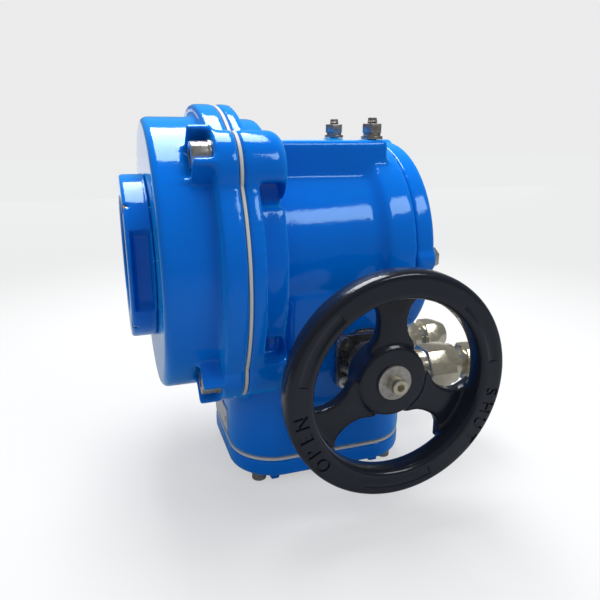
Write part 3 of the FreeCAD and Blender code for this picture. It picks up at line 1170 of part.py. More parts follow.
# Control board on standoffs in the bottom cover, with what stands on it.
def controls():
    boardEnd = "boardStart + boardLong"
    finish("control_board", block("boardLong", "2 * boardHalf", "boardThick", "boardStart", "-boardHalf",
                                  "boardLevel"))
    feet = [rod("standoffRadius", "standoffHigh", x, y + "(boardHalf - standoffIn)", "bottomFloor", "z")
            for x in ("boardStart + standoffIn", boardEnd + " - standoffIn") for y in ("-", "+")]
    finish("board_standoffs", together(feet))
    stripStart = boardEnd + " - terminalWide - terminalIn"
    strip = block("terminalWide", "2 * terminalHalf", "terminalHigh", stripStart, "-terminalHalf",
                  "boardTop")
    slots = []
    count = round(number("terminalSlots"))
    for i in range(count):
        middle = "terminalHalf * (2 * %d / %d - 1)" % (i + 1, count + 1)
        slots.append(block("terminalWide + 2 * over", "terminalSlotWide", "terminalSlotDeep + over",
                           stripStart + " - over", middle + " - terminalSlotWide / 2",
                           "boardTop + terminalHigh - terminalSlotDeep"))
    finish("terminal_block", cut(strip, *slots))
    finish("motor_capacitor", rod("capacitorRadius", "capacitorHigh",
                                  "boardStart + capacitorRadius + capacitorIn", "0", "boardTop", "z"))


# Bare label plate and its rivets on the window side of the lower housing.
def labelPlate():
    plateFront = "lowerLeft - labelThick"
    plate = block("labelThick", "2 * labelHalf", "labelHigh", plateFront, "-labelHalf",
                  "labelTop - labelHigh")
    rivets = []
    holes = []
    for side in ("-", "+"):
        y = side + "(labelHalf - rivetIn)"
        z = "labelTop - labelHigh / 2"
        holes.append(rod("rivetRadius + fit", "labelThick + 2 * over", plateFront + " - over", y, z, "x"))
        rivets.append(join(rod("rivetRadius", "labelThick + rivetReach", plateFront, y, z, "x"),
                           rod("rivetHead", "rivetHeadHigh", plateFront, y, z, "-x")))
    finish("label_plate", cut(plate, *holes))
    finish("label_rivets", together(rivets))


mainHousing()
indicatorCover()
coverGasket()
coverBolts()
windowParts()
basePlate()
outputTrain()
stopScrews()
bottomParts()
wormShaft()
handwheel()
shaftCovers()
motorDrive()
cableGlands()
limitSwitches()
controls()
labelPlate()
doc.recompute()

# Every object is checked before anything is written.
for item in doc.Objects:
    if "Invalid" in item.State or "Error" in item.State:
        raise RuntimeError("%s (%s) failed: %s" % (item.Name, item.Label, item.State))
for item in parts:
    if item.Shape.isNull() or not item.Shape.isValid():
        raise RuntimeError("%s has no valid shape" % item.Label)
os.makedirs("parts", exist_ok=True)
for item in parts:
    item.Shape.exportStep("parts/%s.step" % item.Label)
    print(item.Label, len(item.Shape.Solids), round(item.Shape.Volume, 1))
print(len(parts), "sub-parts")
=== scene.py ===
import json
import math

import bpy
from mathutils import Matrix, Vector


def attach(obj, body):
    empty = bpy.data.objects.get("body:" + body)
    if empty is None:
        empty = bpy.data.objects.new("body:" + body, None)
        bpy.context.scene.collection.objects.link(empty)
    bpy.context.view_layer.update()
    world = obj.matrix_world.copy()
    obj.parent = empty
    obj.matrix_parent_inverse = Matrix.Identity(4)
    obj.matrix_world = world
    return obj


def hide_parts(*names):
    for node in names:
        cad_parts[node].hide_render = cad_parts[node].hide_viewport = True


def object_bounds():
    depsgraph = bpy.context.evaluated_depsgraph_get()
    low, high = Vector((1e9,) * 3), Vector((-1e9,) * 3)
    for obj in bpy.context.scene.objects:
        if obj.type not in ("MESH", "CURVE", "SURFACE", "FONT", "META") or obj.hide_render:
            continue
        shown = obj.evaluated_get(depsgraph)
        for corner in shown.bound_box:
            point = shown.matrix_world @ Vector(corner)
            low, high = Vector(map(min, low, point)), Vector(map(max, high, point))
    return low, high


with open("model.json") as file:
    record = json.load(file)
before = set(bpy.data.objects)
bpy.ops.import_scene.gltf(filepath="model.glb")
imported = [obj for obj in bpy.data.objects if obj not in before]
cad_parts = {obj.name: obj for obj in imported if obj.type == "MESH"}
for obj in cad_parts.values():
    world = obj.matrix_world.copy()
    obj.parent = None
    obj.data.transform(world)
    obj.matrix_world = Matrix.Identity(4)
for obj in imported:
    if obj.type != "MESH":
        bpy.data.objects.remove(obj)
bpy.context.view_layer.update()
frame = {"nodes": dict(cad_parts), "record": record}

nodes = frame["nodes"]
scene = bpy.context.scene
scene.view_settings.view_transform = "Standard"
mm = 0.001

# the axes that the pieces are built round, in metres
axes = {
    "wheelX": -41 * mm,  # worm shaft and handwheel
    "wheelZ": -54 * mm,
    "stopX": -28 * mm,  # stop screws on the ridge
    "stopY": 28 * mm,
}
weld = 0.01 * mm  # corners nearer than this are one


# Mesh helpers
def deselectAll():
    if bpy.context.object and bpy.context.object.mode != "OBJECT":
        bpy.ops.object.mode_set(mode="OBJECT")
    bpy.ops.object.select_all(action="DESELECT")


def pick(piece):
    deselectAll()
    bpy.context.view_layer.objects.active = piece
    piece.select_set(True)
    return piece


def editAll(piece):
    pick(piece)
    bpy.ops.object.mode_set(mode="EDIT")
    bpy.ops.mesh.select_all(action="SELECT")


# bevels the edges whose two ends pass the test
def bevelEdges(piece, offset, segments, wanted):
    pick(piece)
    bpy.ops.object.mode_set(mode="EDIT")
    bpy.ops.mesh.select_all(action="DESELECT")
    bpy.ops.mesh.select_mode(type="EDGE")
    bpy.ops.object.mode_set(mode="OBJECT")
    points = piece.data.vertices
    for edge in piece.data.edges:
        edge.select = wanted(points[edge.vertices[0]].co, points[edge.vertices[1]].co)
    bpy.ops.object.mode_set(mode="EDIT")
    bpy.ops.mesh.bevel(offset=offset, segments=segments)
    bpy.ops.object.mode_set(mode="OBJECT")


# turns all faces outwards
def faceOut(piece):
    editAll(piece)
    bpy.ops.mesh.normals_make_consistent(inside=False)
    bpy.ops.object.mode_set(mode="OBJECT")


# puts the place into the mesh
def settle(piece):
    pick(piece)
    bpy.ops.object.transform_apply(location=True, rotation=True, scale=True)
    return piece


def applyModifier(piece, kind, **settings):
    pick(piece)
    modifier = piece.modifiers.new(kind.lower(), kind)
    for name, value in settings.items():
        setattr(modifier, name, value)
    bpy.ops.object.modifier_apply(modifier=modifier.name)


# cuts a tool from a piece, or adds it with UNION, and takes the tool away
def carve(piece, tool, operation="DIFFERENCE"):
    applyModifier(piece, "BOOLEAN", operation=operation, solver="MANIFOLD", object=tool)
    bpy.data.objects.remove(tool)


# rounds a piece as a casting is round
def castSkin(piece, cast):
    applyModifier(piece, "REMESH", mode="VOXEL", voxel_size=cast["voxel"], use_smooth_shade=True)
    applyModifier(piece, "SMOOTH", factor=0.5, iterations=cast["rounds"])
    applyModifier(piece, "DECIMATE", ratio=cast["keep"])


def copyOf(piece, name):
    twin = bpy.data.objects.new(name, piece.data.copy())
    scene.collection.objects.link(twin)
    return twin


# a copy of a CAD node, its loose triangles merged
def mergedNode(name):
    piece = copyOf(nodes[name], name + "Finished")
    editAll(piece)
    bpy.ops.mesh.remove_doubles(threshold=0.002 * mm)
    bpy.ops.mesh.customdata_custom_splitnormals_clear()
    bpy.ops.object.mode_set(mode="OBJECT")
    return piece


def joinAll(items, name):
    deselectAll()
    for item in items:
        item.select_set(True)
    bpy.context.view_layer.objects.active = items[0]
    if len(items) > 1:
        bpy.ops.object.join()
    items[0].name = name
    return items[0]


def smooth(piece, degrees):
    pick(piece)
    bpy.ops.object.shade_smooth_by_angle(angle=math.radians(degrees))
    return piece


# dresses a piece, puts it on its body and hides the CAD node that it replaces
def place(piece, material, body, replaced):
    piece.data.materials.clear()
    piece.data.materials.append(material)
    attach(piece, body)
    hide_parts(replaced)
    return piece


# Materials
def newMaterial(name):
    material = bpy.data.materials.new(name)
    material.use_nodes = True
    tree = material.node_tree
    shader = tree.nodes["Principled BSDF"]
    return material, tree, shader


def addNode(tree, kind, inputs=None, **settings):
    node = tree.nodes.new(kind)
    for name, value in settings.items():
        setattr(node, name, value)
    for name, value in (inputs or {}).items():
        if hasattr(value, "is_output"):
            tree.links.new(value, node.inputs[name])
        else:
            node.inputs[name].default_value = value
    return node


def newGroup(name, inputs, outputs):
    group = bpy.data.node_groups.new(name, "ShaderNodeTree")
    for label, kind, value in inputs:
        socket = group.interface.new_socket(label, in_out="INPUT", socket_type=kind)
        socket.default_value = value
    for label, kind in outputs:
        group.interface.new_socket(label, in_out="OUTPUT", socket_type=kind)
    return group, group.nodes.new("NodeGroupInput"), group.nodes.new("NodeGroupOutput")


def noise(tree, spot, scale, detail, roughness):
    return addNode(tree, "ShaderNodeTexNoise", {"Vector": spot, "Scale": scale, "Detail": detail,
                                                "Roughness": roughness}).outputs["Fac"]


# surface height of sprayed paint over a casting: fine orange peel on slow waves
def paintSkinGroup():
    group, source, result = newGroup("paintSkin", [
        ("Peel Scale", "NodeSocketFloat", 700.0), ("Wave Scale", "NodeSocketFloat", 45.0),
        ("Peel Share", "NodeSocketFloat", 0.3)],
        [("Height", "NodeSocketFloat"), ("Patches", "NodeSocketFloat")])
    spot = addNode(group, "ShaderNodeTexCoord").outputs["Object"]
    peel = noise(group, spot, source.outputs["Peel Scale"], 2.0, 0.45)
    wave = noise(group, spot, source.outputs["Wave Scale"], 1.5, 0.4)
    mixed = addNode(group, "ShaderNodeMix", {"Factor": source.outputs["Peel Share"], "A": wave, "B": peel},
                    data_type="FLOAT")
    patches = noise(group, spot, 18.0, 4.0, 0.6)
    group.links.new(mixed.outputs["Result"], result.inputs["Height"])
    group.links.new(patches, result.inputs["Patches"])
    return group


# fine turning or drawing marks and dull spots on bare metal
def metalWearGroup():
    group, source, result = newGroup("metalWear", [
        ("Mark Scale", "NodeSocketFloat", 900.0), ("Stretch", "NodeSocketVector", (1.0, 1.0, 1.0))],
        [("Height", "NodeSocketFloat"), ("Dull", "NodeSocketFloat"), ("Spots", "NodeSocketFloat")])
    spot = addNode(group, "ShaderNodeTexCoord").outputs["Object"]
    stretched = addNode(group, "ShaderNodeVectorMath", {0: spot, 1: source.outputs["Stretch"]},
                        operation="MULTIPLY")
    marks = noise(group, stretched.outputs["Vector"], source.outputs["Mark Scale"], 3.0, 0.65)
    dull = noise(group, spot, 160.0, 5.0, 0.7)
    spots = noise(group, spot, 420.0, 6.0, 0.75)
    ramp = addNode(group, "ShaderNodeMapRange", {"Value": spots, "From Min": 0.45, "From Max": 0.62})
    group.links.new(marks, result.inputs["Height"])
    group.links.new(dull, result.inputs["Dull"])
    group.links.new(ramp.outputs["Result"], result.inputs["Spots"])
    return group


paintSkin = paintSkinGroup()
metalWear = metalWearGroup()


def useGroup(tree, group, **values):
    node = tree.nodes.new("ShaderNodeGroup")
    node.node_tree = group
    for name, value in values.items():
        node.inputs[name.replace("_", " ")].default_value = value
    return node


def mixColours(tree, factor, first, second):
    return addNode(tree, "ShaderNodeMix", {"Factor": factor, "A": first, "B": second},
                   data_type="RGBA").outputs["Result"]


# one colour turning into another where the pattern does
def shades(tree, factor, first, second, low=0.3, high=0.7):
    ranged = addNode(tree, "ShaderNodeMapRange", {"Value": factor, "From Min": low, "From Max": high})
    return mixColours(tree, ranged.outputs["Result"], first + (1.0,), second + (1.0,))


def spread(tree, factor, low, high):
    return addNode(tree, "ShaderNodeMapRange", {"Value": factor, "From Min": 0.3, "From Max": 0.7,
                                                "To Min": low, "To Max": high}).outputs["Result"]


def addBump(tree, shader, height, strength, distance):
    bump = addNode(tree, "ShaderNodeBump", {"Height": height, "Strength": strength, "Distance": distance})
    tree.links.new(bump.outputs["Normal"], shader.inputs["Normal"])


# gloss paint, whose colour turns into a lighter painted sheen colour where the surface turns away from the
# camera
def glossPaint(name, look):
    material, tree, shader = newMaterial(name)
    skin = useGroup(tree, paintSkin, Peel_Scale=look["peelScale"], Wave_Scale=look["waveScale"],
                    Peel_Share=look["peelShare"])
    patches = skin.outputs["Patches"]
    body = shades(tree, patches, look["colour"], look["shade"])
    # painted sheen: a lighter colour is mixed into the paint at grazing angles, standing in for light
    # reflected along rounded edges
    facing = addNode(tree, "ShaderNodeLayerWeight", {"Blend": 0.5}).outputs["Facing"]
    sheenShare = addNode(tree, "ShaderNodeMath", {0: facing, 1: look["paintedSheenPower"]}, operation="POWER")
    tree.links.new(mixColours(tree, sheenShare.outputs["Value"], body, look["paintedSheen"] + (1.0,)),
                   shader.inputs["Base Color"])
    tree.links.new(spread(tree, patches, look["roughness"], look["roughness"] + 0.04),
                   shader.inputs["Roughness"])
    addBump(tree, shader, skin.outputs["Height"], look["bump"], look["depth"])
    shader.inputs["Specular Tint"].default_value = look["tint"] + (1.0,)
    shader.inputs["Specular IOR Level"].default_value = look["gloss"]
    return material


# in each paint below, the lighter colour used at grazing angles is a painted sheen
bluePaint = glossPaint("bluePaint", {
    "colour": (0.0, 0.148, 0.68), "shade": (0.0, 0.131, 0.615),
    "paintedSheen": (0.01, 0.40, 0.98), "paintedSheenPower": 2.8,
    "tint": (0.55, 0.85, 1.0), "gloss": 0.5, "roughness": 0.07,
    "peelScale": 620.0, "waveScale": 60.0, "peelShare": 0.3, "bump": 0.3, "depth": 0.0004,
})
wheelPaint = glossPaint("wheelPaint", {
    "colour": (0.009, 0.011, 0.019), "shade": (0.007, 0.009, 0.015),
    "paintedSheen": (0.02, 0.026, 0.045), "paintedSheenPower": 3.0,
    "tint": (0.9, 0.95, 1.0), "gloss": 0.5, "roughness": 0.16,
    "peelScale": 480.0, "waveScale": 90.0, "peelShare": 0.4, "bump": 0.4, "depth": 0.0004,
})
motorPaint = glossPaint("motorPaint", {
    "colour": (0.05, 0.05, 0.055), "shade": (0.04, 0.04, 0.045),
    "paintedSheen": (0.08, 0.08, 0.09), "paintedSheenPower": 3.0,
    "tint": (1.0, 1.0, 1.0), "gloss": 0.5, "roughness": 0.35,
    "peelScale": 800.0, "waveScale": 100.0, "peelShare": 0.5, "bump": 0.3, "depth": 0.0003,
})


def bareMetal(name, look):
    material, tree, shader = newMaterial(name)
    wear = useGroup(tree, metalWear, Mark_Scale=look["markScale"], Stretch=look["stretch"])
    tree.links.new(shades(tree, wear.outputs["Spots"], look["colour"], look["stain"], 0.0, 1.0),
                   shader.inputs["Base Color"])
    tree.links.new(spread(tree, wear.outputs["Dull"], look["smooth"], look["rough"]),
                   shader.inputs["Roughness"])
    addBump(tree, shader, wear.outputs["Height"], look["bump"], 0.0001)
    shader.inputs["Metallic"].default_value = look["metal"]
    return material


stainless = bareMetal("stainless", {
    "colour": (0.60, 0.59, 0.56), "stain": (0.42, 0.41, 0.39), "smooth": 0.18, "rough": 0.34, "bump": 0.25,
    "metal": 0.88, "markScale": 900.0, "stretch": (1.0, 1.0, 1.0),
})
satinWasher = bareMetal("satinWasher", {
    "colour": (0.55, 0.54, 0.51), "stain": (0.40, 0.39, 0.37), "smooth": 0.42, "rough": 0.6, "bump": 0.7,
    "metal": 0.85, "markScale": 1500.0, "stretch": (1.0, 1.0, 1.0),
})
nickelPlate = bareMetal("nickelPlate", {
    "colour": (0.66, 0.62, 0.50), "stain": (0.56, 0.52, 0.41), "smooth": 0.12, "rough": 0.24, "bump": 0.35,
    "metal": 0.88, "markScale": 1100.0, "stretch": (1.0, 1.0, 1.0),
})
darkSteel = bareMetal("darkSteel", {
    "colour": (0.36, 0.36, 0.37), "stain": (0.22, 0.22, 0.23), "smooth": 0.16, "rough": 0.36, "bump": 0.5,
    "metal": 0.9, "markScale": 700.0, "stretch": (1.0, 1.0, 1.0),
})
studSteel = bareMetal("studSteel", {
    "colour": (0.40, 0.38, 0.35), "stain": (0.27, 0.26, 0.24), "smooth": 0.25, "rough": 0.4, "bump": 0.3,
    "metal": 0.85, "markScale": 900.0, "stretch": (1.0, 1.0, 1.0),
})
machinedSteel = bareMetal("machinedSteel", {
    "colour": (0.47, 0.47, 0.48), "stain": (0.32, 0.32, 0.33), "smooth": 0.2, "rough": 0.4, "bump": 0.4,
    "metal": 0.9, "markScale": 1200.0, "stretch": (4.0, 1.0, 1.0),
})
bronze = bareMetal("bronze", {
    "colour": (0.62, 0.36, 0.15), "stain": (0.45, 0.25, 0.10), "smooth": 0.25, "rough": 0.45, "bump": 0.4,
    "metal": 0.9, "markScale": 1000.0, "stretch": (1.0, 1.0, 1.0),
})
labelMetal = bareMetal("labelMetal", {
    "colour": (0.66, 0.66, 0.66), "stain": (0.60, 0.60, 0.60), "smooth": 0.35, "rough": 0.5, "bump": 0.2,
    "metal": 0.3, "markScale": 1400.0, "stretch": (1.0, 8.0, 1.0),
})


def mattStuff(name, look):
    material, tree, shader = newMaterial(name)
    skin = useGroup(tree, paintSkin, Peel_Scale=look["grainScale"], Wave_Scale=90.0, Peel_Share=0.8)
    patches = skin.outputs["Patches"]
    tree.links.new(shades(tree, patches, look["colour"], look["shade"]), shader.inputs["Base Color"])
    tree.links.new(spread(tree, patches, look["roughness"] - 0.08, look["roughness"] + 0.08),
                   shader.inputs["Roughness"])
    addBump(tree, shader, skin.outputs["Height"], 0.5, 0.0002)
    return material


greyGasket = mattStuff("greyGasket", {
    "colour": (0.56, 0.58, 0.58), "shade": (0.46, 0.48, 0.48), "roughness": 0.6, "grainScale": 1500.0,
})
blackRubber = mattStuff("blackRubber", {
    "colour": (0.018, 0.018, 0.018), "shade": (0.03, 0.03, 0.03), "roughness": 0.65, "grainScale": 1200.0,
})
innerPlastic = mattStuff("innerPlastic", {
    "colour": (0.03, 0.03, 0.035), "shade": (0.045, 0.045, 0.05), "roughness": 0.45, "grainScale": 1500.0,
})
boardGreen = mattStuff("boardGreen", {
    "colour": (0.01, 0.16, 0.05), "shade": (0.02, 0.2, 0.07), "roughness": 0.35, "grainScale": 900.0,
})
dialPlate = mattStuff("dialPlate", {
    "colour": (0.7, 0.72, 0.72), "shade": (0.62, 0.64, 0.64), "roughness": 0.4, "grainScale": 1200.0,
})


def clearWindow():
    material, tree, shader = newMaterial("clearWindow")
    skin = useGroup(tree, paintSkin, Peel_Scale=300.0, Wave_Scale=40.0, Peel_Share=0.2)
    patches = skin.outputs["Patches"]
    tree.links.new(shades(tree, patches, (0.9, 0.93, 0.94), (0.86, 0.9, 0.92)), shader.inputs["Base Color"])
    tree.links.new(spread(tree, patches, 0.02, 0.06), shader.inputs["Roughness"])
    shader.inputs["Transmission Weight"].default_value = 1.0
    shader.inputs["IOR"].default_value = 1.49
    return material


windowGlass = clearWindow()
print("materials ready")

slotMaterials = {
    "blue_paint": bluePaint, "wheel_paint": wheelPaint, "motor_paint": motorPaint, "stainless": stainless,
    "steel": machinedSteel, "bearing_plate": darkSteel, "bronze": bronze, "plated_brass": nickelPlate,
    "label_metal": labelMetal, "gasket": greyGasket, "rubber": blackRubber, "inner_plastic": innerPlastic,
    "dial_plate": dialPlate, "board": boardGreen, "clear_window": windowGlass,
}
for entry in frame["record"]["subparts"]:
    item = nodes[entry["node"]]
    for slotHere in item.material_slots:
        slotHere.material = slotMaterials[entry["material_slot"]]
nodes["handwheel_washer"].material_slots[0].material = satinWasher
print("CAD nodes dressed")


# Castings: a copy of the solid is remeshed and smoothed, which rounds every cast edge and corner
castCrease = 40  # degrees up to which faces are shaded smooth
castings = {
    "main_housing": {"voxel": 1.3 * mm, "rounds": 9, "keep": 0.5},
    "indicator_cover": {"voxel": 1.15 * mm, "rounds": 7, "keep": 0.5},
    "window_ring": {"voxel": 0.75 * mm, "rounds": 6, "keep": 0.7},
    "base_plate": {"voxel": 1.1 * mm, "rounds": 5, "keep": 0.5},
    "bottom_cover": {"voxel": 1.1 * mm, "rounds": 6, "keep": 0.5},
    "rear_cap": {"voxel": 0.9 * mm, "rounds": 5, "keep": 0.6},
}


def castPiece(name, cast):
    piece = mergedNode(name)
    castSkin(piece, cast)
    smooth(piece, castCrease)
    place(piece, bluePaint, "housing", name)


for castName, cast in castings.items():
    castPiece(castName, cast)
print("castings ready")

# Machined and pressed pieces: the solid's edges are broken as a tool or a press leaves them
flatWithin = 0.6  # degrees between faces that become one
edgeCrease = 28  # edges sharper than this many degrees are broken
pressedCrease = 32  # degrees up to which faces are shaded smooth
brokenEdges = {
    "cover_gasket": (0.25 * mm, greyGasket, "gasket"),
    "bottom_gasket": (0.25 * mm, greyGasket, "gasket"),
    "cover_bolt_washers": (0.2 * mm, stainless, "stainless"),
    "base_plate_bolts": (0.35 * mm, stainless, "stainless"),
    "stop_screw_nuts": (0.3 * mm, studSteel, "stainless"),
    "stop_screw_washers": (0.2 * mm, studSteel, "stainless"),
    "stop_screw_spring_washers": (0.15 * mm, studSteel, "stainless"),
    "bearing_plate": (0.6 * mm, darkSteel, "bearing_plate"),
    "gland_bodies": (0.4 * mm, nickelPlate, "plated_brass"),
    "gland_nuts": (0.35 * mm, nickelPlate, "plated_brass"),
    "gland_sleeves": (0.4 * mm, blackRubber, "rubber"),
    "label_plate": (0.15 * mm, labelMetal, "label_metal"),
    "handwheel_washer": (0.2 * mm, satinWasher, "stainless"),
}
turning = {"handwheel_washer": "worm"}  # the pieces here that aren't on the housing


def edgedPiece(name, edge, material):
    piece = mergedNode(name)
    editAll(piece)
    bpy.ops.mesh.dissolve_limited(angle_limit=math.radians(flatWithin))
    bpy.ops.object.mode_set(mode="OBJECT")
    applyModifier(piece, "BEVEL", width=edge, segments=2, limit_method="ANGLE",
                  angle_limit=math.radians(edgeCrease), use_clamp_overlap=True)
    smooth(piece, pressedCrease)
    place(piece, material, turning.get(name, "housing"), name)


for edgedName, (edge, material, slot) in brokenEdges.items():
    edgedPiece(edgedName, edge, material)
print("machined pieces ready")

# Socket head screws: made once for each size, then copied to their places
screwSets = {
    "cover_bolts": {
        "head": 6.5 * mm, "high": 8 * mm, "flats": 6 * mm, "shank": 3.9 * mm, "reach": 24 * mm,
        "knurls": 40, "knurl": 1.0, "drives": "x",
        "at": [(-125.4 * mm, y * mm, z * mm) for y in (-57, 57) for z in (-56, 57)],
    },
    "window_screws": {
        "head": 3.2 * mm, "high": 3 * mm, "flats": 3.2 * mm, "shank": 1.8 * mm, "reach": 12 * mm,
        "knurls": 28, "knurl": 0.972, "drives": "x",
        "at": [(-160.4 * mm, y * mm, z * mm) for y in (-28.99, 28.99) for z in (-28.99, 28.99)],
    },
}
screwShape = {"headBevel": 0.09, "tipBevel": 0.25, "crease": 24}  # bevels as shares of the radius
turnTo = {"x": (0, -90, 0), "y": (90, 0, 0)}  # which way a screw drives in


def cylinder(vertices, radius, depth, middle):
    deselectAll()
    bpy.ops.mesh.primitive_cylinder_add(vertices=vertices, radius=radius, depth=depth, location=middle)
    return settle(bpy.context.object)


def capScrew(name, screw):
    radius, high, reach, shank = screw["head"], screw["high"], screw["reach"], screw["shank"]
    top = cylinder(2 * screw["knurls"], radius, high, (0, 0, high / 2))
    for vertex in top.data.vertices:
        step = round(math.atan2(vertex.co.y, vertex.co.x) / math.pi * screw["knurls"])
        if step % 2:
            vertex.co.x *= screw["knurl"]
            vertex.co.y *= screw["knurl"]
    bevelEdges(top, screwShape["headBevel"] * radius, 2,
               lambda first, second: min(first.z, second.z) > high - weld)
    carve(top, cylinder(6, screw["flats"] / math.sqrt(3), high, (0, 0, high)))
    stem = cylinder(32, shank, reach, (0, 0, -reach / 2))
    bevelEdges(stem, screwShape["tipBevel"] * shank, 1,
               lambda first, second: max(first.z, second.z) < weld - reach)
    carve(top, stem, "UNION")
    top.name = name
    return smooth(top, screwShape["crease"])


def screwSet(node, screw, material, body):
    first = capScrew(node + "One", screw)
    copies = []
    for spot in screw["at"]:
        twin = copyOf(first, node + "Copy")
        twin.rotation_euler = [math.radians(angle) for angle in turnTo[screw["drives"]]]
        twin.location = spot
        copies.append(settle(twin))
    bpy.data.objects.remove(first)
    place(joinAll(copies, node + "Finished"), material, body, node)


for screwName, screw in screwSets.items():
    screwSet(screwName, screw, stainless, "housing")
print("screws ready")

# Handwheel: rim, hub and spokes run together as one casting, then lettered, grooved and bored
wheel = {
    "x": axes["wheelX"], "z": axes["wheelZ"], "outer": 60 * mm, "inner": 45.6 * mm,
    "front": -102 * mm, "back": -88 * mm,
    "square": 3.6,  # 2 is a round rim, more is squarer
    "hollow": 0.5 * mm, "hollowShare": 0.7,  # dip along the rim's front face
    "hubRadius": 19 * mm, "hubFront": -92 * mm, "hubBack": -76 * mm, "hubBevel": 1.6 * mm,
    "boreRadius": 6.1 * mm, "boreLong": 60 * mm, "boreMiddle": -84 * mm,
    "spokes": (90, 210, 330), "spokeFront": -90.2 * mm, "spokeBack": -83 * mm, "spokeHalf": 6.9 * mm,
    "spokeStart": 10 * mm, "spokeSunk": 3 * mm, "crown": 0.8 * mm,
    "flareIn": 5.5 * mm, "flareInLong": 4.5 * mm, "flareOut": 12 * mm, "flareOutLong": 4.2 * mm,
    "voxel": 0.85 * mm, "rounds": 6, "keep": 0.55, "crease": 38,
    "words": {"OPEN": 205, "SHUT": -24},  # angle of each word's middle
    "letterSize": 9.8 * mm, "letterCircle": 53.2 * mm, "letterStep": 9.6, "letterDeep": 0.95 * mm,
    "letterHigh": 2 * mm, "letterBold": 0.15 * mm,
    "grooves": (150, 30, 270), "grooveHalf": 21, "grooveCircle": 52.4 * mm,
    "grooveWide": 2.6 * mm, "grooveDeep": 0.7 * mm,
}


def power(value, exponent):
    return math.copysign(abs(value) ** exponent, value)


def roundWheel(angle, out):
    return wheel["x"] + math.cos(angle) * out, wheel["z"] + math.sin(angle) * out


# the rim's section, a rounded square, spun about the worm shaft
def wheelRim():
    deselectAll()
    bpy.ops.mesh.primitive_circle_add(vertices=64, radius=1.0)
    rim = bpy.context.object
    middle, half = (wheel["outer"] + wheel["inner"]) / 2, (wheel["outer"] - wheel["inner"]) / 2
    level, deep = (wheel["front"] + wheel["back"]) / 2, (wheel["back"] - wheel["front"]) / 2
    for vertex in rim.data.vertices:
        across = power(vertex.co.x, 2 / wheel["square"])
        along = power(vertex.co.y, 2 / wheel["square"])
        y = level + deep * along
        if along < 0:
            y += wheel["hollow"] * max(0.0, 1 - (across / wheel["hollowShare"]) ** 2)
        vertex.co = (wheel["x"] + middle + half * across, y, wheel["z"])
    editAll(rim)
    bpy.ops.mesh.spin(steps=144, angle=2 * math.pi, center=(wheel["x"], 0, wheel["z"]), axis=(0, 1, 0))
    bpy.ops.mesh.select_all(action="SELECT")
    bpy.ops.mesh.remove_doubles(threshold=weld)
    faceOut(rim)
    return rim


# a cylinder on the worm shaft's axis
def shaftCylinder(vertices, radius, depth, middle):
    deselectAll()
    bpy.ops.mesh.primitive_cylinder_add(vertices=vertices, radius=radius, depth=depth,
                                        rotation=(math.pi / 2, 0, 0),
                                        location=(wheel["x"], middle, wheel["z"]))
    return settle(bpy.context.object)


def wheelHub():
    deep = wheel["hubBack"] - wheel["hubFront"]
    hub = shaftCylinder(96, wheel["hubRadius"], deep, wheel["hubFront"] + deep / 2)
    bevelEdges(hub, wheel["hubBevel"], 3,
               lambda first, second: max(first.y, second.y) < wheel["hubFront"] + weld)
    return hub


# how far a spoke's flank stands from its middle, with a flare at the hub and at the rim
def spokeWidth(out):
    fromHub = max(0.0, out - wheel["hubRadius"])
    toRim = max(0.0, wheel["inner"] - out)
    return (wheel["spokeHalf"] + wheel["flareIn"] * math.exp(-fromHub / wheel["flareInLong"])
            + wheel["flareOut"] * math.exp(-toRim / wheel["flareOutLong"]))


def wheelSpoke(turn):
    deselectAll()
    bpy.ops.mesh.primitive_cube_add(size=1.0)
    spoke = bpy.context.object
    editAll(spoke)
    bpy.ops.mesh.subdivide(number_cuts=15)
    bpy.ops.object.mode_set(mode="OBJECT")
    start, end = wheel["spokeStart"], wheel["inner"] + wheel["spokeSunk"]
    for vertex in spoke.data.vertices:
        out = start + (end - start) * (vertex.co.x + 0.5)
        front = wheel["spokeFront"] + wheel["crown"] * (2 * vertex.co.y) ** 2
        depth = wheel["spokeBack"] + (front - wheel["spokeBack"]) * (vertex.co.z + 0.5)
        aside = 2 * spokeWidth(out) * vertex.co.y
        vertex.co = (math.cos(turn) * out - math.sin(turn) * aside, depth,
                     math.sin(turn) * out + math.cos(turn) * aside)
    spoke.location = (wheel["x"], 0, wheel["z"])
    settle(spoke)
    faceOut(spoke)
    return spoke


# level of the rim's front face at an angle
def rimLevel(piece, angle, out):
    x, z = roundWheel(angle, out)
    return piece.ray_cast(Vector((x, 2 * wheel["front"], z)), Vector((0, 1, 0)))[1].y


# a cutter for one letter in the rim, its top outwards
def rimLetter(letter, angle, level):
    deselectAll()
    bpy.ops.object.text_add()
    text = bpy.context.object
    text.data.body = letter
    text.data.size = wheel["letterSize"]
    text.data.extrude = wheel["letterHigh"]
    text.data.offset = wheel["letterBold"]
    text.data.align_x = "CENTER"
    text.data.align_y = "CENTER"
    text.data.resolution_u = 4
    bpy.ops.object.convert(target="MESH")
    piece = settle(bpy.context.object)
    editAll(piece)
    bpy.ops.mesh.remove_doubles(threshold=weld)
    bpy.ops.object.mode_set(mode="OBJECT")
    for vertex in piece.data.vertices:
        across, up, deep = vertex.co
        x, z = roundWheel(angle, wheel["letterCircle"] + up)
        vertex.co = (x + math.sin(angle) * across, level + wheel["letterDeep"] - wheel["letterHigh"] - deep,
                     z - math.cos(angle) * across)
    faceOut(piece)
    return piece


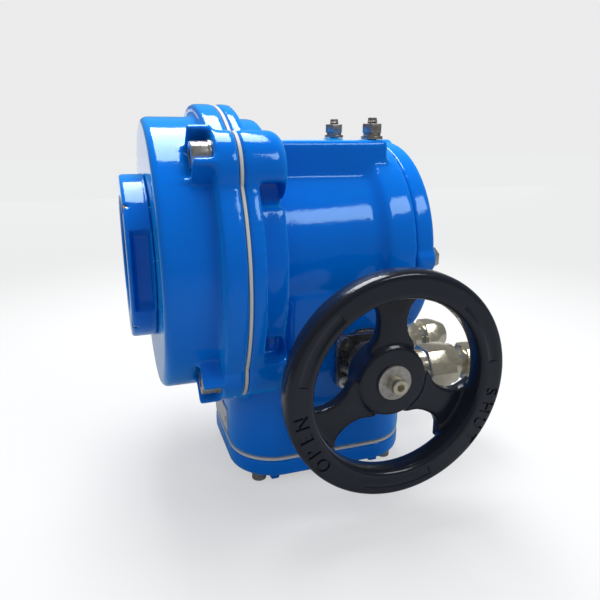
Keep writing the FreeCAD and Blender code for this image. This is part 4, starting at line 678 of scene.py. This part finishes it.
# a cutter for a shallow groove along the rim, a disc's edge spun through the groove's angle
def rimGroove(angle, level):
    deselectAll()
    half = math.radians(wheel["grooveHalf"])
    start = math.radians(angle) - half
    wide, deep = wheel["grooveWide"], wheel["grooveDeep"]
    radius = (wide ** 2 + deep ** 2) / (2 * deep)
    x, z = roundWheel(start, wheel["grooveCircle"])
    bpy.ops.mesh.primitive_circle_add(vertices=64, radius=radius, fill_type="NGON", rotation=(0, -start, 0),
                                      location=(x, level + deep - radius, z))
    groove = settle(bpy.context.object)
    editAll(groove)
    bpy.ops.mesh.spin(steps=40, angle=2 * half, center=(wheel["x"], 0, wheel["z"]), axis=(0, 1, 0))
    faceOut(groove)
    return groove


def handwheel():
    parts = [wheelRim(), wheelHub()] + [wheelSpoke(math.radians(turn)) for turn in wheel["spokes"]]
    piece = joinAll(parts, "handwheelCasting")
    castSkin(piece, wheel)
    cutters = []
    for word, middle in wheel["words"].items():
        for i, letter in enumerate(word):
            turn = math.radians(middle + (len(word) / 2 - 0.5 - i) * wheel["letterStep"])
            cutters.append(rimLetter(letter, turn, rimLevel(piece, turn, wheel["letterCircle"])))
    for angle in wheel["grooves"]:
        cutters.append(rimGroove(angle, rimLevel(piece, math.radians(angle), wheel["grooveCircle"])))
    cutters.append(shaftCylinder(64, wheel["boreRadius"], wheel["boreLong"], wheel["boreMiddle"]))
    for cutter in cutters:
        carve(piece, cutter)
    smooth(piece, wheel["crease"])
    print("handwheel faces", len(piece.data.polygons))
    place(piece, wheelPaint, "worm", "handwheel")


handwheel()
wheelScrew = {
    "head": 4.25 * mm, "high": 6 * mm, "flats": 4 * mm, "shank": 3 * mm, "reach": 11 * mm,
    "knurls": 34, "knurl": 0.98, "drives": "y", "at": [(wheel["x"], -93.5 * mm, wheel["z"])],
}
screwSet("handwheel_screw", wheelScrew, nickelPlate, "worm")
print("handwheel ready")

# Stop screws: threaded studs with a slotted end
stud = {
    "crest": 2.97 * mm, "root": 2.45 * mm, "rootSunk": 0.2 * mm, "pitch": 1.0 * mm, "pitchShare": 0.98,
    "low": 0.3 * mm, "high": 75 * mm, "endBevel": 0.5 * mm, "slotWide": 1.2 * mm, "slotDeep": 1.5 * mm,
    "turnSteps": 28, "crease": 30,
}


# a triangle that climbs one pitch in each turn
def studThread():
    deselectAll()
    bpy.ops.mesh.primitive_circle_add(vertices=3, radius=1.0)
    thread = bpy.context.object
    sunk = stud["root"] - stud["rootSunk"]
    base = stud["low"] + stud["pitch"] / 2
    corners = ((sunk, 0), (stud["crest"], 0.5), (sunk, stud["pitchShare"]))
    for vertex, (out, share) in zip(thread.data.vertices, corners):
        vertex.co = (out, 0, base + share * stud["pitch"])
    turns = int((stud["high"] - stud["low"]) / stud["pitch"]) - 2
    applyModifier(thread, "SCREW", axis="Z", angle=2 * math.pi, screw_offset=stud["pitch"], iterations=turns,
                  steps=stud["turnSteps"], render_steps=stud["turnSteps"], use_merge_vertices=False,
                  use_smooth_shade=False)
    faceOut(thread)
    return thread


def threadedStud(name):
    long = stud["high"] - stud["low"]
    core = cylinder(48, stud["root"], long, (0, 0, stud["low"] + long / 2))
    bevelEdges(core, stud["endBevel"], 2, lambda first, second: abs(first.z - second.z) < 0.1 * weld)
    deselectAll()
    bpy.ops.mesh.primitive_cube_add(size=1.0, location=(0, 0, stud["high"]))
    slot = bpy.context.object
    slot.scale = (stud["slotWide"], 4 * stud["crest"], 2 * stud["slotDeep"])
    carve(core, settle(slot))
    return smooth(joinAll([studThread(), core], name), stud["crease"])


firstStud = threadedStud("studOne")
for side, name, body in ((-1, "stop_screw_near", "stop_near"), (1, "stop_screw_far", "stop_far")):
    twin = copyOf(firstStud, name + "Finished")
    twin.location = (axes["stopX"], side * axes["stopY"], 0)
    place(settle(twin), studSteel, body, name)
bpy.data.objects.remove(firstStud)
print("stop screws ready")


# Floor, backdrop and light
stage = {
    "floorHalf": 4.0, "floorGap": 0.2 * mm, "grainScale": 30.0,
    "floorColour": (0.50, 0.505, 0.51), "floorShade": (0.48, 0.485, 0.49),  # what the light bounces off
    "floorSeen": (0.30, 0.302, 0.305), "floorSeenShade": (0.29, 0.292, 0.294),  # what the camera sees
    "floorMirrored": (0.26, 0.265, 0.27, 1.0),
    "floorGlow": 0.6,  # share of the backdrop's own brightness near the part
    "pale": (0.83, 0.835, 0.84, 1.0), "near": 0.2, "far": 0.7,  # the floor turns into the backdrop between
    "worldDiffuse": 0.68, "worldGlossy": 0.15,
}
lamps = {
    "overhead": {
        "at": (-0.06, 0.41, 1.0), "aim": (-0.06, 0.41, 0.0), "wide": 0.5, "high": 0.92, "watts": 17.0,
    },
    "window": {
        "at": (0.57, -0.90, 0.96), "aim": (-0.06, -0.05, 0.02), "wide": 0.62, "high": 0.36, "watts": 5.0,
    },
    "backCard": {
        "at": (0.0, 1.5, 0.02), "aim": (0.0, 0.0, 0.0), "wide": 3.0, "high": 0.3, "watts": 2.2,
    },
}


def floorPaper():
    material, tree, shader = newMaterial("floorPaper")
    grain = addNode(tree, "ShaderNodeTexNoise", {"Scale": stage["grainScale"], "Detail": 3.0}).outputs["Fac"]
    spot = addNode(tree, "ShaderNodeTexCoord").outputs["Object"]
    out = addNode(tree, "ShaderNodeVectorMath", {0: spot}, operation="LENGTH").outputs["Value"]
    away = addNode(tree, "ShaderNodeMapRange", {"Value": out, "From Min": stage["near"],
                                                "From Max": stage["far"]},
                   interpolation_type="SMOOTHSTEP").outputs["Result"]
    path = addNode(tree, "ShaderNodeLightPath").outputs
    plain = shades(tree, grain, stage["floorColour"], stage["floorShade"])
    bright = shades(tree, grain, stage["floorSeen"], stage["floorSeenShade"])
    paper = mixColours(tree, path["Is Camera Ray"], plain, bright)
    faded = mixColours(tree, away, paper, (0.0, 0.0, 0.0, 1.0))
    mirrored = mixColours(tree, path["Is Glossy Ray"], faded, stage["floorMirrored"])
    tree.links.new(mirrored, shader.inputs["Base Color"])
    glow = addNode(tree, "ShaderNodeMapRange", {"Value": away, "To Min": stage["floorGlow"], "To Max": 1.0})
    seen = addNode(tree, "ShaderNodeMath", {0: glow.outputs["Result"], 1: path["Is Camera Ray"]},
                   operation="MULTIPLY")
    tree.links.new(seen.outputs["Value"], shader.inputs["Emission Strength"])
    shader.inputs["Emission Color"].default_value = stage["pale"]
    shader.inputs["Roughness"].default_value = 0.8
    shader.inputs["Specular IOR Level"].default_value = 0.1
    return material


def plainFloor():
    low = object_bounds()[0].z
    deselectAll()
    bpy.ops.mesh.primitive_plane_add(size=2 * stage["floorHalf"], location=(0, 0, low - stage["floorGap"]))
    floor = bpy.context.object
    floor.name = "floor"
    floor.data.materials.append(floorPaper())


# the world lights softly, mirrors darker, and looks like the floor far away
def studioWorld():
    world = bpy.data.worlds.new("studio")
    scene.world = world
    world.use_nodes = True
    tree = world.node_tree
    background = tree.nodes["Background"]
    background.inputs["Color"].default_value = (1.0, 1.0, 1.0, 1.0)
    path = addNode(tree, "ShaderNodeLightPath").outputs
    shiny = addNode(tree, "ShaderNodeMapRange", {"Value": path["Is Glossy Ray"],
                                                 "To Min": stage["worldDiffuse"],
                                                 "To Max": stage["worldGlossy"]})
    direct = addNode(tree, "ShaderNodeMath", {0: path["Is Camera Ray"], 1: path["Is Transmission Ray"]},
                     operation="MAXIMUM")
    strength = addNode(tree, "ShaderNodeMapRange", {"Value": direct.outputs["Value"],
                                                    "To Min": shiny.outputs["Result"],
                                                    "To Max": stage["pale"][1]})
    tree.links.new(strength.outputs["Result"], background.inputs["Strength"])


def softbox(name, box):
    lamp = bpy.data.lights.new(name, "AREA")
    lamp.shape = "RECTANGLE"
    lamp.size = box["wide"]
    lamp.size_y = box["high"]
    lamp.energy = box["watts"]
    holder = bpy.data.objects.new(name, lamp)
    holder.visible_camera = False
    scene.collection.objects.link(holder)
    holder.location = box["at"]
    holder.rotation_euler = (Vector(box["aim"]) - Vector(box["at"])).to_track_quat("-Z", "Y").to_euler()
    return holder


plainFloor()
studioWorld()
softboxes = {name: softbox(name, box) for name, box in lamps.items()}
softboxes["backCard"].visible_diffuse = False  # only for reflections
print("stage and lamps ready")

# Camera, as the photograph was taken
view = {
    "place": (-0.1718, -0.3262, 0.0684), "yaw": 18.9, "pitch": 16.7, "roll": 0.3,
    "focal": 567.6, "frame": 600,  # in pixels
}


def photoCamera():
    yaw, pitch, roll = (math.radians(view[name]) for name in ("yaw", "pitch", "roll"))
    ahead = Vector((math.sin(yaw) * math.cos(pitch), math.cos(yaw) * math.cos(pitch), -math.sin(pitch)))
    side = Vector((math.cos(yaw), -math.sin(yaw), 0))
    above = side.cross(ahead)
    right = side * math.cos(roll) + above * math.sin(roll)
    up = above * math.cos(roll) - side * math.sin(roll)
    data = bpy.data.cameras.new("photoCamera")
    data.lens = data.sensor_width * view["focal"] / view["frame"]
    data.clip_start = 0.01
    camera = bpy.data.objects.new("photoCamera", data)
    scene.collection.objects.link(camera)
    turn = Matrix((right, up, -ahead)).transposed().to_4x4()
    camera.matrix_world = Matrix.Translation(Vector(view["place"])) @ turn
    scene.camera = camera


photoCamera()
print("camera ready")
